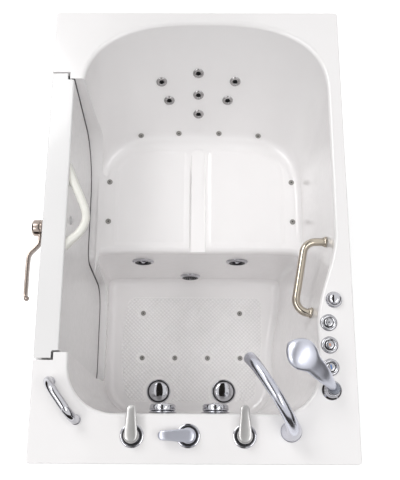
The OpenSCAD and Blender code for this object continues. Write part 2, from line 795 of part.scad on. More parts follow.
// The spindle with its cam, whose pin drives the latch slide
module lever_spindle() {
  cam_x = slide_x - hair;
  x0 = left_x - boss_h + 8 + hair;
  half = latch_travel / 2;
  color("dimgray") in_frame() {
    pipe_x(x0, cam_x, spindle_y, spindle_z, spindle_d / 2);
    pipe_x(cam_x - cam_t, cam_x, spindle_y, spindle_z, crank_r + 6);
    pipe_x(cam_x - 1, slide_x + slide_t + 2, spindle_y + half, spindle_z + half, crank_pin / 2);
  }
}

module bolt_hole(z) {
  pipe_y(bolt_x, edge_at(z, 0), edge_at(z, jamb_out + shell_t) + keeper_t + 8, z,
         bolt_d / 2 + bolt_play);
}

module bolt(z) {
  pipe_y(bolt_x, edge_at(z, 0) - 8, edge_at(z, jamb_out) + bolt_reach, z, bolt_d / 2);
}

module latch_slide() {
  x1 = slide_x + slide_t;
  half = latch_travel / 2;
  slot = crank_pin / 2 + slot_play;
  back_y = spindle_y - 60;
  color("darkgray") in_frame() {
    difference() {
      union() {
        box(slide_x, x1, back_y, edge_at(spindle_z, 0), spindle_z - slide_w / 2,
            spindle_z + slide_w / 2);
        box(slide_x, x1, spindle_y - half - 8, spindle_y + 3 * half, spindle_z,
            spindle_z + crank_r + 12);
      }
      box(slide_x - 1, x1 + 1, spindle_y + half - slot, spindle_y + half + slot,
          spindle_z + half - slot, spindle_z + crank_r + slot);
    }
    box(slide_x, x1, back_y, back_y + slide_w, low_bolt_z, spindle_z);
    box(slide_x, x1, back_y, edge_at(low_bolt_z, 0) - 4, low_bolt_z - slide_w / 2,
        low_bolt_z + slide_w / 2);
    bolt(spindle_z);
    bolt(low_bolt_z);
  }
}

module latch_keepers() {
  h = keeper_w / 2;
  color("silver") in_frame() for (z = [spindle_z, low_bolt_z]) difference() {
    along_x(bolt_x - h + 2, bolt_x + h)
      polygon([for (c = [[0, -h], [keeper_t, -h], [keeper_t, h], [0, h]])
        [edge_at(z + c[1], jamb_out + shell_t) + c[0], z + c[1]]]);
    bolt_hole(z);
  }
}

// ---- bars ----
// A round bar along straight runs that are joined by bends
module bent_bar(points, bend, r) {
  n = len(points);
  half = [for (i = [0:n - 1]) i == 0 || i == n - 1 ? 90
    : acos(unit(points[i - 1] - points[i]) * unit(points[i + 1] - points[i])) / 2];
  reach = [for (h = half) h == 90 ? 0 : bend / tan(h)];
  for (i = [0:n - 2]) {
    d = unit(points[i + 1] - points[i]);
    start = points[i] + d * reach[i];
    length = norm(points[i + 1] - points[i]) - reach[i] - reach[i + 1];
    translate(start) rotate([0, acos(d[2]), atan2(d[1], d[0])]) cylinder(r = r, h = length);
  }
  for (i = [1:1:n - 2]) {
    a = unit(points[i - 1] - points[i]);
    b = unit(points[i + 1] - points[i]);
    centre = points[i] + unit(a + b) * bend / sin(half[i]);
    u = unit(points[i] + a * reach[i] - centre);
    w = -a;
    k = cross(u, w);
    multmatrix([[u[0], w[0], k[0], centre[0]], [u[1], w[1], k[1], centre[1]],
                [u[2], w[2], k[2], centre[2]], [0, 0, 0, 1]])
      rotate_extrude(angle = 180 - 2 * half[i]) translate([bend, 0]) circle(r = r);
  }
}

// A path with each corner replaced by an arc
function rounded(p, bend, n) = concat([p[0]],
  [for (i = [1:len(p) - 2])
    let (
      a = unit(p[i - 1] - p[i]),
      b = unit(p[i + 1] - p[i]),
      half = acos(a * b) / 2,
      centre = p[i] + unit(a + b) * bend / sin(half),
      u = unit(p[i] + a * bend / tan(half) - centre)
    )
    for (k = [0:n]) let (t = (180 - 2 * half) * k / n) centre + bend * (u * cos(t) - a * sin(t))],
  [p[len(p) - 1]]);

module swept_bar(points, bend, r, flat) {
  path = rounded(points, bend, 6);
  loft(sweep_rings(path, [for (p = path) [r, r]], flat, 20));
}

module wall_grab_bar() {
  a = wall_spot(bar_ys[0]);
  b = wall_spot(bar_ys[1]);
  color("tan") in_frame() swept_bar([
    a + [-bar_sits, 0, 0], a + [-bar_off, 0, 0], a + [-bar_off - 18, -60, 0],
    b + [-bar_off + 16, 60, 0], b + [-bar_off + 24, 0, 0], b + [-bar_sits, 0, 0]
  ], 20, bar_d / 2, [0, 0, 1]);
}

module wall_bar_flanges() {
  color("tan") in_frame() for (y = bar_ys) difference() {
    translate(wall_spot(y)) rotate([0, wall_lean - 90, -wall_turn(y)])
      translate([0, 0, flange_sits])
        cylinder(r = bar_flange_r, h = bar_flange_t - flange_sits);
    pipe_x(wall_spot(y)[0] - 30, wall_spot(y)[0] - bar_sits + snug, y, bar_z, bar_d / 2 + snug);
  }
}

module deck_grab_bar() {
  posts = [[left_x + 53, foot_y + 220], [left_x + 130, foot_y + 117]];
  top = rim_h + 70;
  color("silver") in_frame() {
    swept_bar([[posts[0][0], posts[0][1], rim_h], [posts[0][0], posts[0][1], top],
               [posts[1][0], posts[1][1], top], [posts[1][0], posts[1][1], rim_h]],
              30, bar_d / 2, cross([posts[1][0] - posts[0][0], posts[1][1] - posts[0][1], 0], [0, 0, 1]));
    for (p = posts) pipe_z(p[0], p[1], rim_h, rim_h + 5, bar_d / 2 + 5);
  }
}

// ---- spout, valves and hand shower ----
module spout() {
  s = spout_reach;
  h = spout_h;
  path = curve([[0, 0, 0], [0, 0, 0.16 * h], [0, 0, 0.34 * h], [0.05 * s, 0, 0.58 * h],
                [0.2 * s, 0, 0.82 * h], [0.42 * s, 0, 0.94 * h], [0.66 * s, 0, 0.92 * h],
                [0.86 * s, 0, 0.8 * h], [0.98 * s, 0, 0.6 * h]], 24);
  tube = spout_d / 2;
  sections = [for (i = [0:24])
    let (base = 1 - clamp(i / 4), mouth = smooth((i - 16) / 8))
    [tube + 16 * base * base + 3.5 * mouth, tube + 16 * base * base + 3.5 * mouth]];
  end = path[24];
  aim = unit(path[24] - path[23]);
  color("silver") in_frame() translate([spout_spot[0], spout_spot[1], rim_h])
    rotate([0, 0, spout_turn]) difference() {
      union() {
        loft(sweep_rings(path, sections, [0, 1, 0], 24));
        translate([0, 0, -40]) cylinder(r = 14 - hair, h = 42);
      }
      translate(end) rotate([0, 180 + acos(aim[2]), 0]) translate([0, 0, -5])
        cylinder(r = tube - 0.5, h = 45);
    }
}

module valve_flanges() {
  r = valve_d / 2;
  stem = stem_d / 2 + fit;
  color("silver") in_frame() for (k = [-1, 0, 1])
    translate([valve_x + k * valve_pitch, deck_y, rim_h]) rotate_extrude()
      polygon([[stem, -shell_t - 12], [16.5, -shell_t - 12], [16.5, 0], [r, 0], [r, 3], [r - 6, 6],
               [22, 9], [20, 14], [stem, 14]]);
}

module valve_bodies() {
  color("peru") in_frame() for (k = [-1, 0, 1])
    translate([valve_x + k * valve_pitch, deck_y, 0]) difference() {
      pipe_z(0, 0, rim_h - 75, rim_h - shell_t - 12 - hair, 25);
      pipe_z(0, 0, rim_h - 45, rim_h, stem_d / 2 + fit);
    }
}

// A domed hub with a paddle, on a stem that goes down into the valve body
module valve_handle(k, turn) {
  reach = valve_lever - 13;
  color("silver") in_frame() translate([valve_x + k * valve_pitch, deck_y, rim_h]) rotate([0, 0, turn]) {
    pipe_z(0, 0, -40, 20, stem_d / 2);
    translate([0, 0, 14 + hair]) rotate_extrude()
      polygon([[0, 0], [20.5, 0], [21.5, 3], [20.5, 12], [16, hub_h - 19], [9, hub_h - 15],
               [0, hub_h - 14]]);
    hull() {
      translate([8, 0, hub_h - 8]) scale([1, 1, 0.3]) sphere(r = 13, $fn = 28);
      translate([reach, 0, hub_h - 2]) scale([1, 1, 0.3]) sphere(r = 13, $fn = 28);
    }
  }
}

module hot_lever() { valve_handle(-1, 90); }
module cold_lever() { valve_handle(1, 90); }
module diverter_lever() { valve_handle(0, 180); }

module shower_holder() {
  bore = wand_d / 2 + fit;
  color("silver") in_frame() translate([holder_spot[0], holder_spot[1], rim_h]) rotate_extrude()
    polygon([[bore, -shell_t - 34], [15 - hair, -shell_t - 34], [15 - hair, 0], [28, 0], [28, 3],
             [24, 8], [19, 24], [19, holder_h], [bore, holder_h]]);
}

module hand_shower() {
  rise = 165;
  across = 126;
  r = head_d / 2;
  stalk = [[0, 0, holder_h + hair], [0, 0, holder_h + 10], [8, 0, holder_h + 26], [26, 0, 84],
           [50, 0, 114], [across - 0.94 * r, 0, rise - 24]];
  head = [for (a = [-55, -30, 0, 25, 45, 62, 76, 86])
    [across + r * sin(a), 0, rise - 2 - 12 * pow(sin(a - 30), 2)]];
  path = concat(curve(stalk, 12), head);
  wand = wand_d / 2;
  sections = concat([for (i = [0:12]) wand * [1, 1] + min(1, i / 6) * [1, 2]],
                    [for (a = [-55, -30, 0, 25, 45, 62, 76, 86]) [5 + 7 * cos(a), r * cos(a)]]);
  color("silver") in_frame() translate([holder_spot[0], holder_spot[1], rim_h]) {
    pipe_z(0, 0, -40, holder_h + 1, wand);
    rotate([0, 0, holder_turn]) loft(sweep_rings(path, sections, [0, 1, 0], 24));
  }
}

module mixer_pipes() {
  r = pipe_d / 2;
  xs = [for (k = [-1, 0, 1]) valve_x + k * valve_pitch];
  z = rim_h - 55;
  low = rim_h - 97;
  back = deck_y - 30;
  color("peru") in_frame() {
    difference() {
      union() {
        for (i = [0, 1]) pipe_x(xs[i] + 5, xs[i + 1] - 5, deck_y - 14, z, r);
        bent_bar([[xs[1], deck_y, rim_h - 40], [xs[1], back - 6, rim_h - 40],
                  [holder_spot[0], back - 6, rim_h - 40], [holder_spot[0], back - 6, low + 20],
                  [holder_spot[0], holder_spot[1], low + 20],
                  [holder_spot[0], holder_spot[1], rim_h - shell_t - 34]], 14, r);
      }
      for (x = xs) pipe_z(x, deck_y, rim_h - 80, rim_h, 25 + snug);
    }
    bent_bar([[xs[1], deck_y, rim_h - 75], [xs[1], deck_y, low], [xs[1], back, low],
              [spout_spot[0], back, low], [spout_spot[0], spout_spot[1], low],
              [spout_spot[0], spout_spot[1], rim_h - 40]], 14, r);
    for (x = [xs[0], xs[2]]) {
      pipe_z(x, deck_y, inlet_z, rim_h - 75, r);
      pipe_z(x, deck_y, inlet_z, inlet_z + inlet_l, inlet_d / 2);
    }
  }
}

// ---- overflows and drains ----
module overflow_plates() {
  y = well_foot + foot_draft * (rim_h - overflow_z + overflow_d / 2 + 3);
  stem = stem_d / 2 + fit;
  color("silver") in_frame() for (x = overflow_xs)
    translate([x, y + hair, overflow_z]) rotate([-90, 0, 0]) rotate_extrude()
      polygon([[stem, -24], [21.5, -24], [21.5, 0], [overflow_d / 2 + 3, 0],
               [overflow_d / 2 + 3, 2], [overflow_d / 2, 4], [stem, 4]]);
}

module overflow_knob(x) {
  y = well_foot + foot_draft * (rim_h - overflow_z + overflow_d / 2 + 3) + 4 + 2 * hair;
  r = overflow_d / 2;
  color("silver") in_frame() translate([x, y, overflow_z]) rotate([-90, 0, 0]) {
    rotate_extrude()
      polygon([[0, 0], [r - 4, 0], [r, 4], [r, 15], [r - 3, 19], [r - 9, 20], [r - 14, 17.5],
               [14, 16], [12, 22], [8, 24], [0, 24]]);
    translate([0, 0, -40]) cylinder(r = stem_d / 2, h = 41);
  }
}

module overflow_knob_left() { overflow_knob(overflow_xs[0]); }
module overflow_knob_right() { overflow_knob(overflow_xs[1]); }

module drain_flanges() {
  r = drain_d / 2;
  bore = 22;
  color("silver") in_frame() for (x = drain_xs) translate([x, drain_y, floor_z]) {
    rotate_extrude()
      polygon([[bore, -drain_tail], [drain_tail_r, -drain_tail], [drain_tail_r, 0], [r, 0],
               [r - 2, 2.2], [stopper_d / 2 - 3, 3], [bore + 4, 3], [bore, 0]]);
    difference() {
      union() {
        box(-bore - 1, bore + 1, -2, 2, -18, -12);
        pipe_z(0, 0, -18, -8, 8);
      }
      pipe_z(0, 0, -19, -7, stem_d / 4 + fit);
    }
  }
}

module drain_stopper(x) {
  r = stopper_d / 2;
  color("silver") in_frame() translate([x, drain_y, floor_z + 3 + hair]) {
    rotate_extrude()
      polygon([[0, 0], [r - 1, 0], [r, 1.2], [r - 1, 3], [0.8 * r, 5.6], [0.55 * r, 7.6],
               [0.3 * r, 8.7], [0, 9]]);
    translate([0, 0, -40]) cylinder(r = stem_d / 4, h = 41);
  }
}

module drain_stopper_left() { drain_stopper(drain_xs[0]); }
module drain_stopper_right() { drain_stopper(drain_xs[1]); }

module waste_pipes() {
  r = waste_d / 2;
  tail_x = (drain_xs[0] + drain_xs[1]) / 2;
  down_r = 19;
  y = well_foot - 42;
  color("gainsboro") in_frame() difference() {
    union() {
      pipe_x(drain_xs[0] - 30, drain_xs[1] + 30, drain_y, waste_z, r);
      for (x = drain_xs) {
        pipe_z(x, drain_y, waste_z, floor_z - shell_t - hair, r + 3);
        pipe_z(x, drain_y, floor_z - drain_tail - 4, floor_z - shell_t - hair, r + 10);
      }
      pipe_y(tail_x, tail_y, drain_y, waste_z, r);
      pipe_y(tail_x, tail_y + spigot_l, drain_y, waste_z, r + 2);
      for (x = overflow_xs) {
        bent_bar([[x, y, overflow_z], [x, y, waste_z], [x, drain_y, waste_z]], 40, down_r);
        pipe_y(x, y - down_r, well_foot - 26, overflow_z, 26);
      }
    }
    for (x = drain_xs) {
      pipe_z(x, drain_y, waste_z, floor_z, r - 3);
      pipe_z(x, drain_y, floor_z - drain_tail - hair, floor_z, drain_tail_r + 2 * fit);
    }
    pipe_x(drain_xs[0], drain_xs[1], drain_y, waste_z, r - 3);
    pipe_y(tail_x, tail_y - 1, drain_y, waste_z, r - 3);
    for (x = overflow_xs) pipe_y(x, y, well_foot, overflow_z, 20);
  }
}

// ---- controls ----
module air_knob() {
  color("silver") in_frame() translate([knob_spot[0], knob_spot[1], rim_h + 3 + hair]) {
    rotate_extrude()
      polygon([[0, 0], [19, 0], [21, 3], [20.5, 10], [17, 16], [10, 20], [0, 21]]);
    pipe_z(0, 0, -30, 1, stem_d / 2);
  }
}

module button_bezels() {
  bore = button_d / 2 + hair;
  color("silver") in_frame() {
    for (y = button_ys) translate([panel_x, y, rim_h]) rotate_extrude()
      polygon([[bore, -40], [15.7, -40], [15.7, 0], [bezel_d / 2, 0], [bezel_d / 2, 2],
               [bezel_d / 2 - 4, 5], [bore, 5]]);
    for (y = button_ys) pipe_z(panel_x, y, rim_h - 44, rim_h - 40, 15.7);
    translate([knob_spot[0], knob_spot[1], rim_h]) rotate_extrude()
      polygon([[stem_d / 2 + fit, -34], [12.7, -34], [12.7, 0], [24, 0], [23, 3],
               [stem_d / 2 + fit, 3]]);
  }
}

module push_button(y) {
  r = button_d / 2;
  translate([panel_x, y, rim_h]) rotate_extrude()
    polygon([[0, -30], [r, -30], [r, 6.5], [r - 1.5, 8], [0, 8.6]]);
}

module blower_button() { color("silver") in_frame() push_button(button_ys[0]); }
module pump_button() { color("silver") in_frame() push_button(button_ys[1]); }
module heater_button() { color("silver") in_frame() push_button(button_ys[2]); }

// ---- jets ----
module back_jets() {
  r = back_jet_d / 2;
  color("silver") in_frame() for (s = back_jet_spots) on_back(back_jet_x + s[0], s[1])
    rotate_extrude()
      polygon([[0, -30], [12.5, -30], [12.5, back_sits], [r, back_sits], [r, back_sits + 1.5],
               [r - 4, back_sits + 4], [8, back_sits + 4], [6.5, -6], [0, -6]]);
}

module foot_jet_bezels() {
  r = jet_d / 2;
  bore = insert_d / 2 + fit;
  color("silver") in_frame() for (x = foot_jet_xs)
    translate([x, seat_y - jet_sits, foot_jet_z]) rotate([90, 0, 0]) rotate_extrude()
      polygon([[bore, -40], [28.4, -40], [28.4, 0], [r, 0], [r, 2], [r - 5, 7], [r - 13, 6],
               [bore, 3]]);
}

module foot_jet_insert(x) {
  r = insert_d / 2;
  color("dimgray") in_frame() translate([x, seat_y - jet_sits, foot_jet_z]) rotate([90, 0, 0])
    difference() {
      rotate_extrude()
        polygon([[0, -36], [r, -36], [r, 4], [r - 3, 5], [7, 4], [5, 6], [0, 6]]);
      for (k = [-1, 1]) pipe_z(k * 13, 0, -20, 10, 5);
    }
}

module foot_jet_left() { foot_jet_insert(foot_jet_xs[0]); }
module foot_jet_right() { foot_jet_insert(foot_jet_xs[1]); }

module suction_cover() {
  r = jet_d / 2;
  color("silver") in_frame() translate([suction_x, seat_y - jet_sits, suction_z])
    rotate([90, 0, 0]) difference() {
      rotate_extrude()
        polygon([[0, 2], [20, 2], [20, -40], [28.4, -40], [28.4, 0], [r, 0], [r, 2], [r - 6, 8],
                 [r - 16, 11], [0, 12]]);
      for (k = [-2:2]) box(k * 9 - 2, k * 9 + 2, -18, 18, -1, 20);
    }
}

module air_cap(r) {
  rotate_extrude()
    polygon([[0, -22], [5, -22], [5, jet_sits / 2], [r, jet_sits / 2], [r, 1.4], [r - 2, 3],
             [2.5, 3], [2, 1.5], [0, 1.5]]);
}

function seat_jet_z(x) = seat_z - (x == seat_jet_xs[1] ? groove_d : 0);

module air_jets() {
  r = air_jet_d / 2;
  color("silver") in_frame() {
    for (x = seat_jet_xs, y = seat_jet_ys) translate([x, y, seat_jet_z(x)]) air_cap(r);
    for (x = base_jet_xs) on_back(x, base_jet_z) translate([0, 0, back_sits]) air_cap(r);
    for (x = floor_jet_xs) translate([x, floor_jet_ys[0], floor_z]) air_cap(r);
    for (x = [floor_jet_xs[0], floor_jet_xs[3]])
      translate([x, floor_jet_ys[1], floor_z]) air_cap(r);
  }
}

// ---- pump, blower and their pipes ----
module water_pump() {
  x = 120;
  y = seat_y + 108;
  z = suction_z;
  color("dimgray") in_frame() {
    pipe_x(x - 40, x + 4, y, z, 66);
    pipe_x(x - 62, x - 39, y, z, 30);
    pipe_x(x + 3, x + 222, y, z, 60);
    for (a = [0:30:330])
      translate([0, y, z]) rotate([a, 0, 0]) box(x + 20, x + 200, -3, 3, 59, 65);
    pipe_z(x, y, z, z + 84, 24);
    box(x + 30, x + 60, y - 40, y + 40, rail_top + 4, z - 40);
    box(x + 160, x + 190, y - 40, y + 40, rail_top + 4, z - 40);
    box(x - 60, x + 240, cross_ys[4] - 15, y + 68, rail_top, rail_top + 4);
  }
}

module jet_pipes() {
  y = seat_y + 108;
  r = 16;
  back = head_y - 62;
  trunk = back_jet_x;
  color("gainsboro") in_frame() {
    pipe_x(foot_jet_xs[0], foot_jet_xs[1], y, foot_jet_z, r);
    pipe_z(120, y, suction_z + 84, foot_jet_z, r);
    for (x = foot_jet_xs) pipe_y(x, seat_y + 40 - jet_sits, y, foot_jet_z, r);
    bent_bar([[foot_jet_xs[0], y, foot_jet_z], [foot_jet_xs[0], back, foot_jet_z],
              [trunk, back, foot_jet_z], [trunk, back, back_jet_spots[5][1] + 8]], 40, r);
    for (s = back_jet_spots) {
      x = back_jet_x + s[0];
      away = unit([back_turn(x, s[1]), -1, back_tilt(x, s[1])]);
      tail = [x, back_at(x, s[1]), s[1]] - away * (30 + hair);
      pipe_path([tail, tail - away * 12, [x, back, s[1] - 24], [trunk, back, s[1] - 30]], 8);
    }
    bent_bar([[suction_x, seat_y + 40 - jet_sits, suction_z], [suction_x, y, suction_z],
              [58, y, suction_z]], 30, 20);
  }
}

module air_blower() {
  x = blower_x;
  y = blower_y;
  color("dimgray") in_frame() {
    pipe_z(x, y, rail_top + 30, rail_top + 120, 70);
    pipe_z(x, y, rail_top + 119, rail_top + 150, 44);
    pipe_z(x, y, rail_top + 12, rail_top + 31, 52);
    pipe_z(x, y, rail_top + 149, rail_top + 164, 16);
    box(x - 60, x + 38, cross_ys[5] - 10, cross_ys[6] + 10, rail_top, rail_top + 4);
    for (a = [0:90:270]) translate([x, y, rail_top + 4]) rotate([0, 0, a]) pipe_z(28, 0, 0, 9, 6);
  }
}

module air_pipes() {
  z = seat_z - 50;
  low = floor_z - 34;
  y = blower_y;
  y1 = seat_y + 468;
  side = well_left - 27;
  r = 12;
  color("gainsboro") in_frame() {
    for (x = seat_jet_xs)
      pipe_y(x, seat_jet_ys[0] - 20, x == seat_jet_xs[1] ? y1 : y, z, r);
    for (x = seat_jet_xs, yy = seat_jet_ys) pipe_z(x, yy, z, seat_jet_z(x) - 22, 7);
    pipe_x(seat_jet_xs[0] - r - 5, seat_jet_xs[2] + r + 5, y, z, r + 2);
    pipe_z(blower_x, y, rail_top + 164, z, r);
    pipe_x(base_jet_xs[0] - r, base_jet_xs[3] + r, y1, z, r + 3);
    for (x = base_jet_xs) {
      away = unit([back_turn(x, base_jet_z), -1, back_tilt(x, base_jet_z)]);
      tail = [x, back_at(x, base_jet_z), base_jet_z] - away * (22 - back_sits + hair);
      pipe_path([tail, tail - away * 9, [x, y1, z + 30], [x, y1, z]], 6);
    }
    for (yy = floor_jet_ys) {
      pipe_x(side, floor_jet_xs[3] + 12, yy, low, 8);
      pipe_z(side, yy, low - 11, rail_top + 9, 10);
    }
    for (x = floor_jet_xs) pipe_z(x, floor_jet_ys[0], low, floor_z - 22, 6);
    for (x = [floor_jet_xs[0], floor_jet_xs[3]]) pipe_z(x, floor_jet_ys[1], low, floor_z - 22, 6);
    pipe_y(side, floor_jet_ys[0] - 13, y + 13, rail_top + 9, 8);
    pipe_z(side, y, rail_top + 9, rail_top + 72, 10);
    pipe_x(side, blower_x - 70, y, rail_top + 60, 8);
  }
}

module control_box() {
  x = frame_x - post_in - post;
  y = foot_y + 375;
  color("lightgray") in_frame() {
    box(x - 46, x, y - 80, y + 80, 480, 640);
    for (k = [-1, 1], j = [-1, 1])
      translate([x - 46, y + k * 68, 560 + j * 68]) rotate([0, -90, 0]) cylinder(r = 5, h = 2);
  }
}

// ---- the frame ----
module tube_y(x0, x1, y0, y1, z0, z1) {
  difference() {
    box(x0, x1, y0, y1, z0, z1);
    box(x0 + tube_t, x1 - tube_t, y0 - 1, y1 + 1, z0 + tube_t, z1 - tube_t);
  }
}

module tube_x(x0, x1, y0, y1, z0, z1) {
  difference() {
    box(x0, x1, y0, y1, z0, z1);
    box(x0 - 1, x1 + 1, y0 + tube_t, y1 - tube_t, z0 + tube_t, z1 - tube_t);
  }
}

module side_rails() {
  color("silver") in_frame() for (s = [-1, 1]) difference() {
    tube_y(min(s * frame_x, s * (frame_x - rail)), max(s * frame_x, s * (frame_x - rail)),
           -frame_y, frame_y, rail_z, rail_top);
    for (y = foot_ys) pipe_z(s * (frame_x - rail / 2), y, rail_z - 1, rail_z + 5, stud_d / 2 + fit);
  }
}

module cross_rails() {
  x = frame_x - rail;
  color("silver") in_frame() {
    for (y = cross_ys) tube_x(-x, x, y - rail / 2, y + rail / 2, rail_z, rail_top);
    for (y = [cross_ys[1], cross_ys[2], cross_ys[3]], k = [-1, 1])
      box(k * 250 - 30, k * 250 + 30, y - 12, y + 12, rail_top, floor_z - shell_t - hair);
    for (k = [-1, 1])
      box(k * (leg_xs[0] + leg_xs[1]) / 2 - (leg_xs[0] - leg_xs[1] + post) / 2,
          k * (leg_xs[0] + leg_xs[1]) / 2 + (leg_xs[0] - leg_xs[1] + post) / 2,
          cross_ys[5] - post / 2, cross_ys[5] + post / 2, leg_top, leg_top + post);
  }
}

module uprights() {
  h = post / 2;
  top = rim_h - shell_t - hair;
  side = frame_x - post_in - h;
  end = frame_y - post_in - h;
  spots = concat([for (x = [-side, side], y = [-end, end]) [x, y]],
                 [for (y = [foot_y + 375, foot_y + 715, foot_y + 1055]) [side, y]],
                 [for (x = [-150, 150]) [x, end]], [for (x = [-220, 220]) [x, -end]],
                 [[-side, foot_y + 205], [-side, head_y - 165]]);
  color("silver") in_frame() {
    for (s = spots) box(s[0] - h, s[0] + h, s[1] - h, s[1] + h, rail_top, top);
    for (k = [-1, 1], x = leg_xs)
      box(k * x - h, k * x + h, cross_ys[5] - h, cross_ys[5] + h, rail_top, leg_top);
  }
}

module top_rails() {
  h = post / 2;
  top = rim_h - shell_t - hair;
  side = frame_x - post_in - h;
  end = frame_y - post_in - h;
  ys = [-end, foot_y + 375, foot_y + 715, foot_y + 1055, end];
  heads = [-side, -150, 150, side];
  feet = [-side, -220, 220, side];
  color("silver") in_frame() {
    for (i = [0:3]) box(side - h, side + h, ys[i] + h, ys[i + 1] - h, top - post, top);
    for (i = [0:2]) box(heads[i] + h, heads[i + 1] - h, end - h, end + h, top - post, top);
    for (i = [0:2]) box(feet[i] + h, feet[i + 1] - h, -end - h, -end + h, top - post, top);
    box(-side - h, -side + h, -end + h, foot_y + 205 - h, top - post, top);
    box(-side - h, -side + h, head_y - 165 + h, end - h, top - post, top);
  }
}

module levelling_feet() {
  color("dimgray") in_frame() for (s = [-1, 1], y = foot_ys)
    translate([s * (frame_x - rail / 2), y, 0]) {
      rotate_extrude()
        polygon([[0, 0], [22, 0], [22, 4], [14, foot_pad_h], [0, foot_pad_h]]);
      pipe_z(0, 0, foot_pad_h - 1, rail_top - 8, stud_d / 2);
      translate([0, 0, rail_z - 10]) cylinder(r = stud_d * 0.88, h = 10 - snug, $fn = 6);
    }
}

// ---- panels ----
module front_skirt() {
  x0 = left_x + skirt_in;
  color("white") in_frame() difference() {
    box(x0, x0 + panel_t, foot_y + skirt_in, head_y - skirt_in, toe_gap, panel_top - hair);
    along_x(x0 - 1, x0 + panel_t + 1)
      polygon(door_outline(jamb_out + lip_w + 2 * hair, rim_h + 10));
    for (z = hinge_zs, k = [-1, 0, 1])
      pipe_x(x0 - 1, x0 + panel_t + 1, hinge_y - leaf_l + 12, z + k * hinge_h / 3,
             screw_d / 2 + hair);
    for (s = panel_screw_spots) pipe_x(x0 - 1, x0 + panel_t + 1, s[0], s[1], screw_d / 2 + hair);
  }
}

module access_panel() {
  x0 = left_x + hair;
  color("white") in_frame() difference() {
    box(x0, left_x + skirt_in, access_y[0], access_y[1], access_z[0], access_z[1]);
    for (s = panel_screw_spots) pipe_x(x0 - 1, x0 + 5, s[0], s[1], screw_d / 2 + hair);
  }
}

// The foot end's panel has a notch for the waste line
module end_panels() {
  x = frame_x - hair;
  tail_x = (drain_xs[0] + drain_xs[1]) / 2;
  color("white") in_frame() for (s = [-1, 1]) difference() {
    y0 = min(s * frame_y, s * (frame_y + panel_t));
    box(-x, x, y0, y0 + panel_t, toe_gap, panel_top - hair);
    if (s < 0) box(tail_x - waste_d, tail_x + waste_d, y0 - 1, y0 + panel_t + 1, 0, rail_z + 10);
  }
}

module panel_screws() {
  color("gainsboro") in_frame() {
    for (z = hinge_zs, k = [-1, 0, 1])
      screw_x(left_x - hair - leaf_t, hinge_y - leaf_l + 12, z + k * hinge_h / 3,
              leaf_t + skirt_in + panel_t);
    for (s = panel_screw_spots) screw_x(left_x + hair, s[0], s[1], skirt_in + panel_t - hair);
  }
}

tub_shell();
door_outer_panel();
door_inner_panel();
door_stiffener();
door_seal();
door_grab_handle();
door_cap();
tub_hinge_leaves();
door_hinge_leaves();
hinge_pins();
hinge_screws();
lever_boss();
door_lever();
lever_spindle();
latch_slide();
latch_keepers();
wall_grab_bar();
wall_bar_flanges();
deck_grab_bar();
spout();
valve_flanges();
valve_bodies();
hot_lever();
cold_lever();
diverter_lever();
shower_holder();
hand_shower();
mixer_pipes();
overflow_plates();
overflow_knob_left();
overflow_knob_right();
drain_flanges();
drain_stopper_left();
drain_stopper_right();
waste_pipes();
air_knob();
button_bezels();
blower_button();
pump_button();
heater_button();
back_jets();
foot_jet_bezels();
foot_jet_left();
foot_jet_right();
suction_cover();
air_jets();
water_pump();
jet_pipes();
air_blower();
air_pipes();
control_box();
side_rails();
cross_rails();
uprights();
top_rails();
levelling_feet();
front_skirt();
access_panel();
end_panels();
panel_screws();
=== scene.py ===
import math

import bmesh
import bpy
from mathutils import Matrix, Vector


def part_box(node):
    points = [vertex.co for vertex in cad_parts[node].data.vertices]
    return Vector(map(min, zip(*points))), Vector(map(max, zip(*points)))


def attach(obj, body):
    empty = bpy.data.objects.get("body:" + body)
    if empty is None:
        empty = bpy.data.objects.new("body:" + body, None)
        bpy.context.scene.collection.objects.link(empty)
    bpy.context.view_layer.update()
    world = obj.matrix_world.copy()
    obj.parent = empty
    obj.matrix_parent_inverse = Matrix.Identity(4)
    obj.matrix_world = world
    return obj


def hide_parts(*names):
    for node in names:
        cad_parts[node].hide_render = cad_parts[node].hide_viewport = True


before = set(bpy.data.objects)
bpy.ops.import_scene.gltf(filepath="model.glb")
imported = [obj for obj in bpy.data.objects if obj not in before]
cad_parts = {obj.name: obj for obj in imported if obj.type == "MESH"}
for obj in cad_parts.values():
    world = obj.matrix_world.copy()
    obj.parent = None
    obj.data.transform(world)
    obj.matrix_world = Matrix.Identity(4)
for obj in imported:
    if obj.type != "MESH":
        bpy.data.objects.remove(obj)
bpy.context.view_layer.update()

railLow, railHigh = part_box("side_rails")
tubMiddle = Vector(((railLow.x + railHigh.x) / 2, (railLow.y + railHigh.y) / 2, 0))
print("frame loaded:", len(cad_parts), "nodes")


def lerp(a, b, t):
    return a + (b - a) * t


def clamp(t):
    return max(0.0, min(1.0, t))


def smooth(t):
    t = clamp(t)
    return t * t * (3 - 2 * t)


def signedPow(v, e):
    return math.copysign(abs(v) ** e, v)


def steps(a, b, count):
    return [lerp(a, b, i / count) for i in range(count + 1)]


def sinD(a):
    return math.sin(math.radians(a))


def cosD(a):
    return math.cos(math.radians(a))


def turner(axis):
    return lambda angle: Matrix.Rotation(math.radians(angle), 4, axis)


turnX, turnY, turnZ = (turner(axis) for axis in "XYZ")


def at(x, y, z):
    return Matrix.Translation((x, y, z))


# All lengths below are millimetres from the middle of the tub
meshing = {"weld": 0.001, "lastWeld": 0.002, "latheAngle": 28, "blockAngle": 35, "segments": 3}


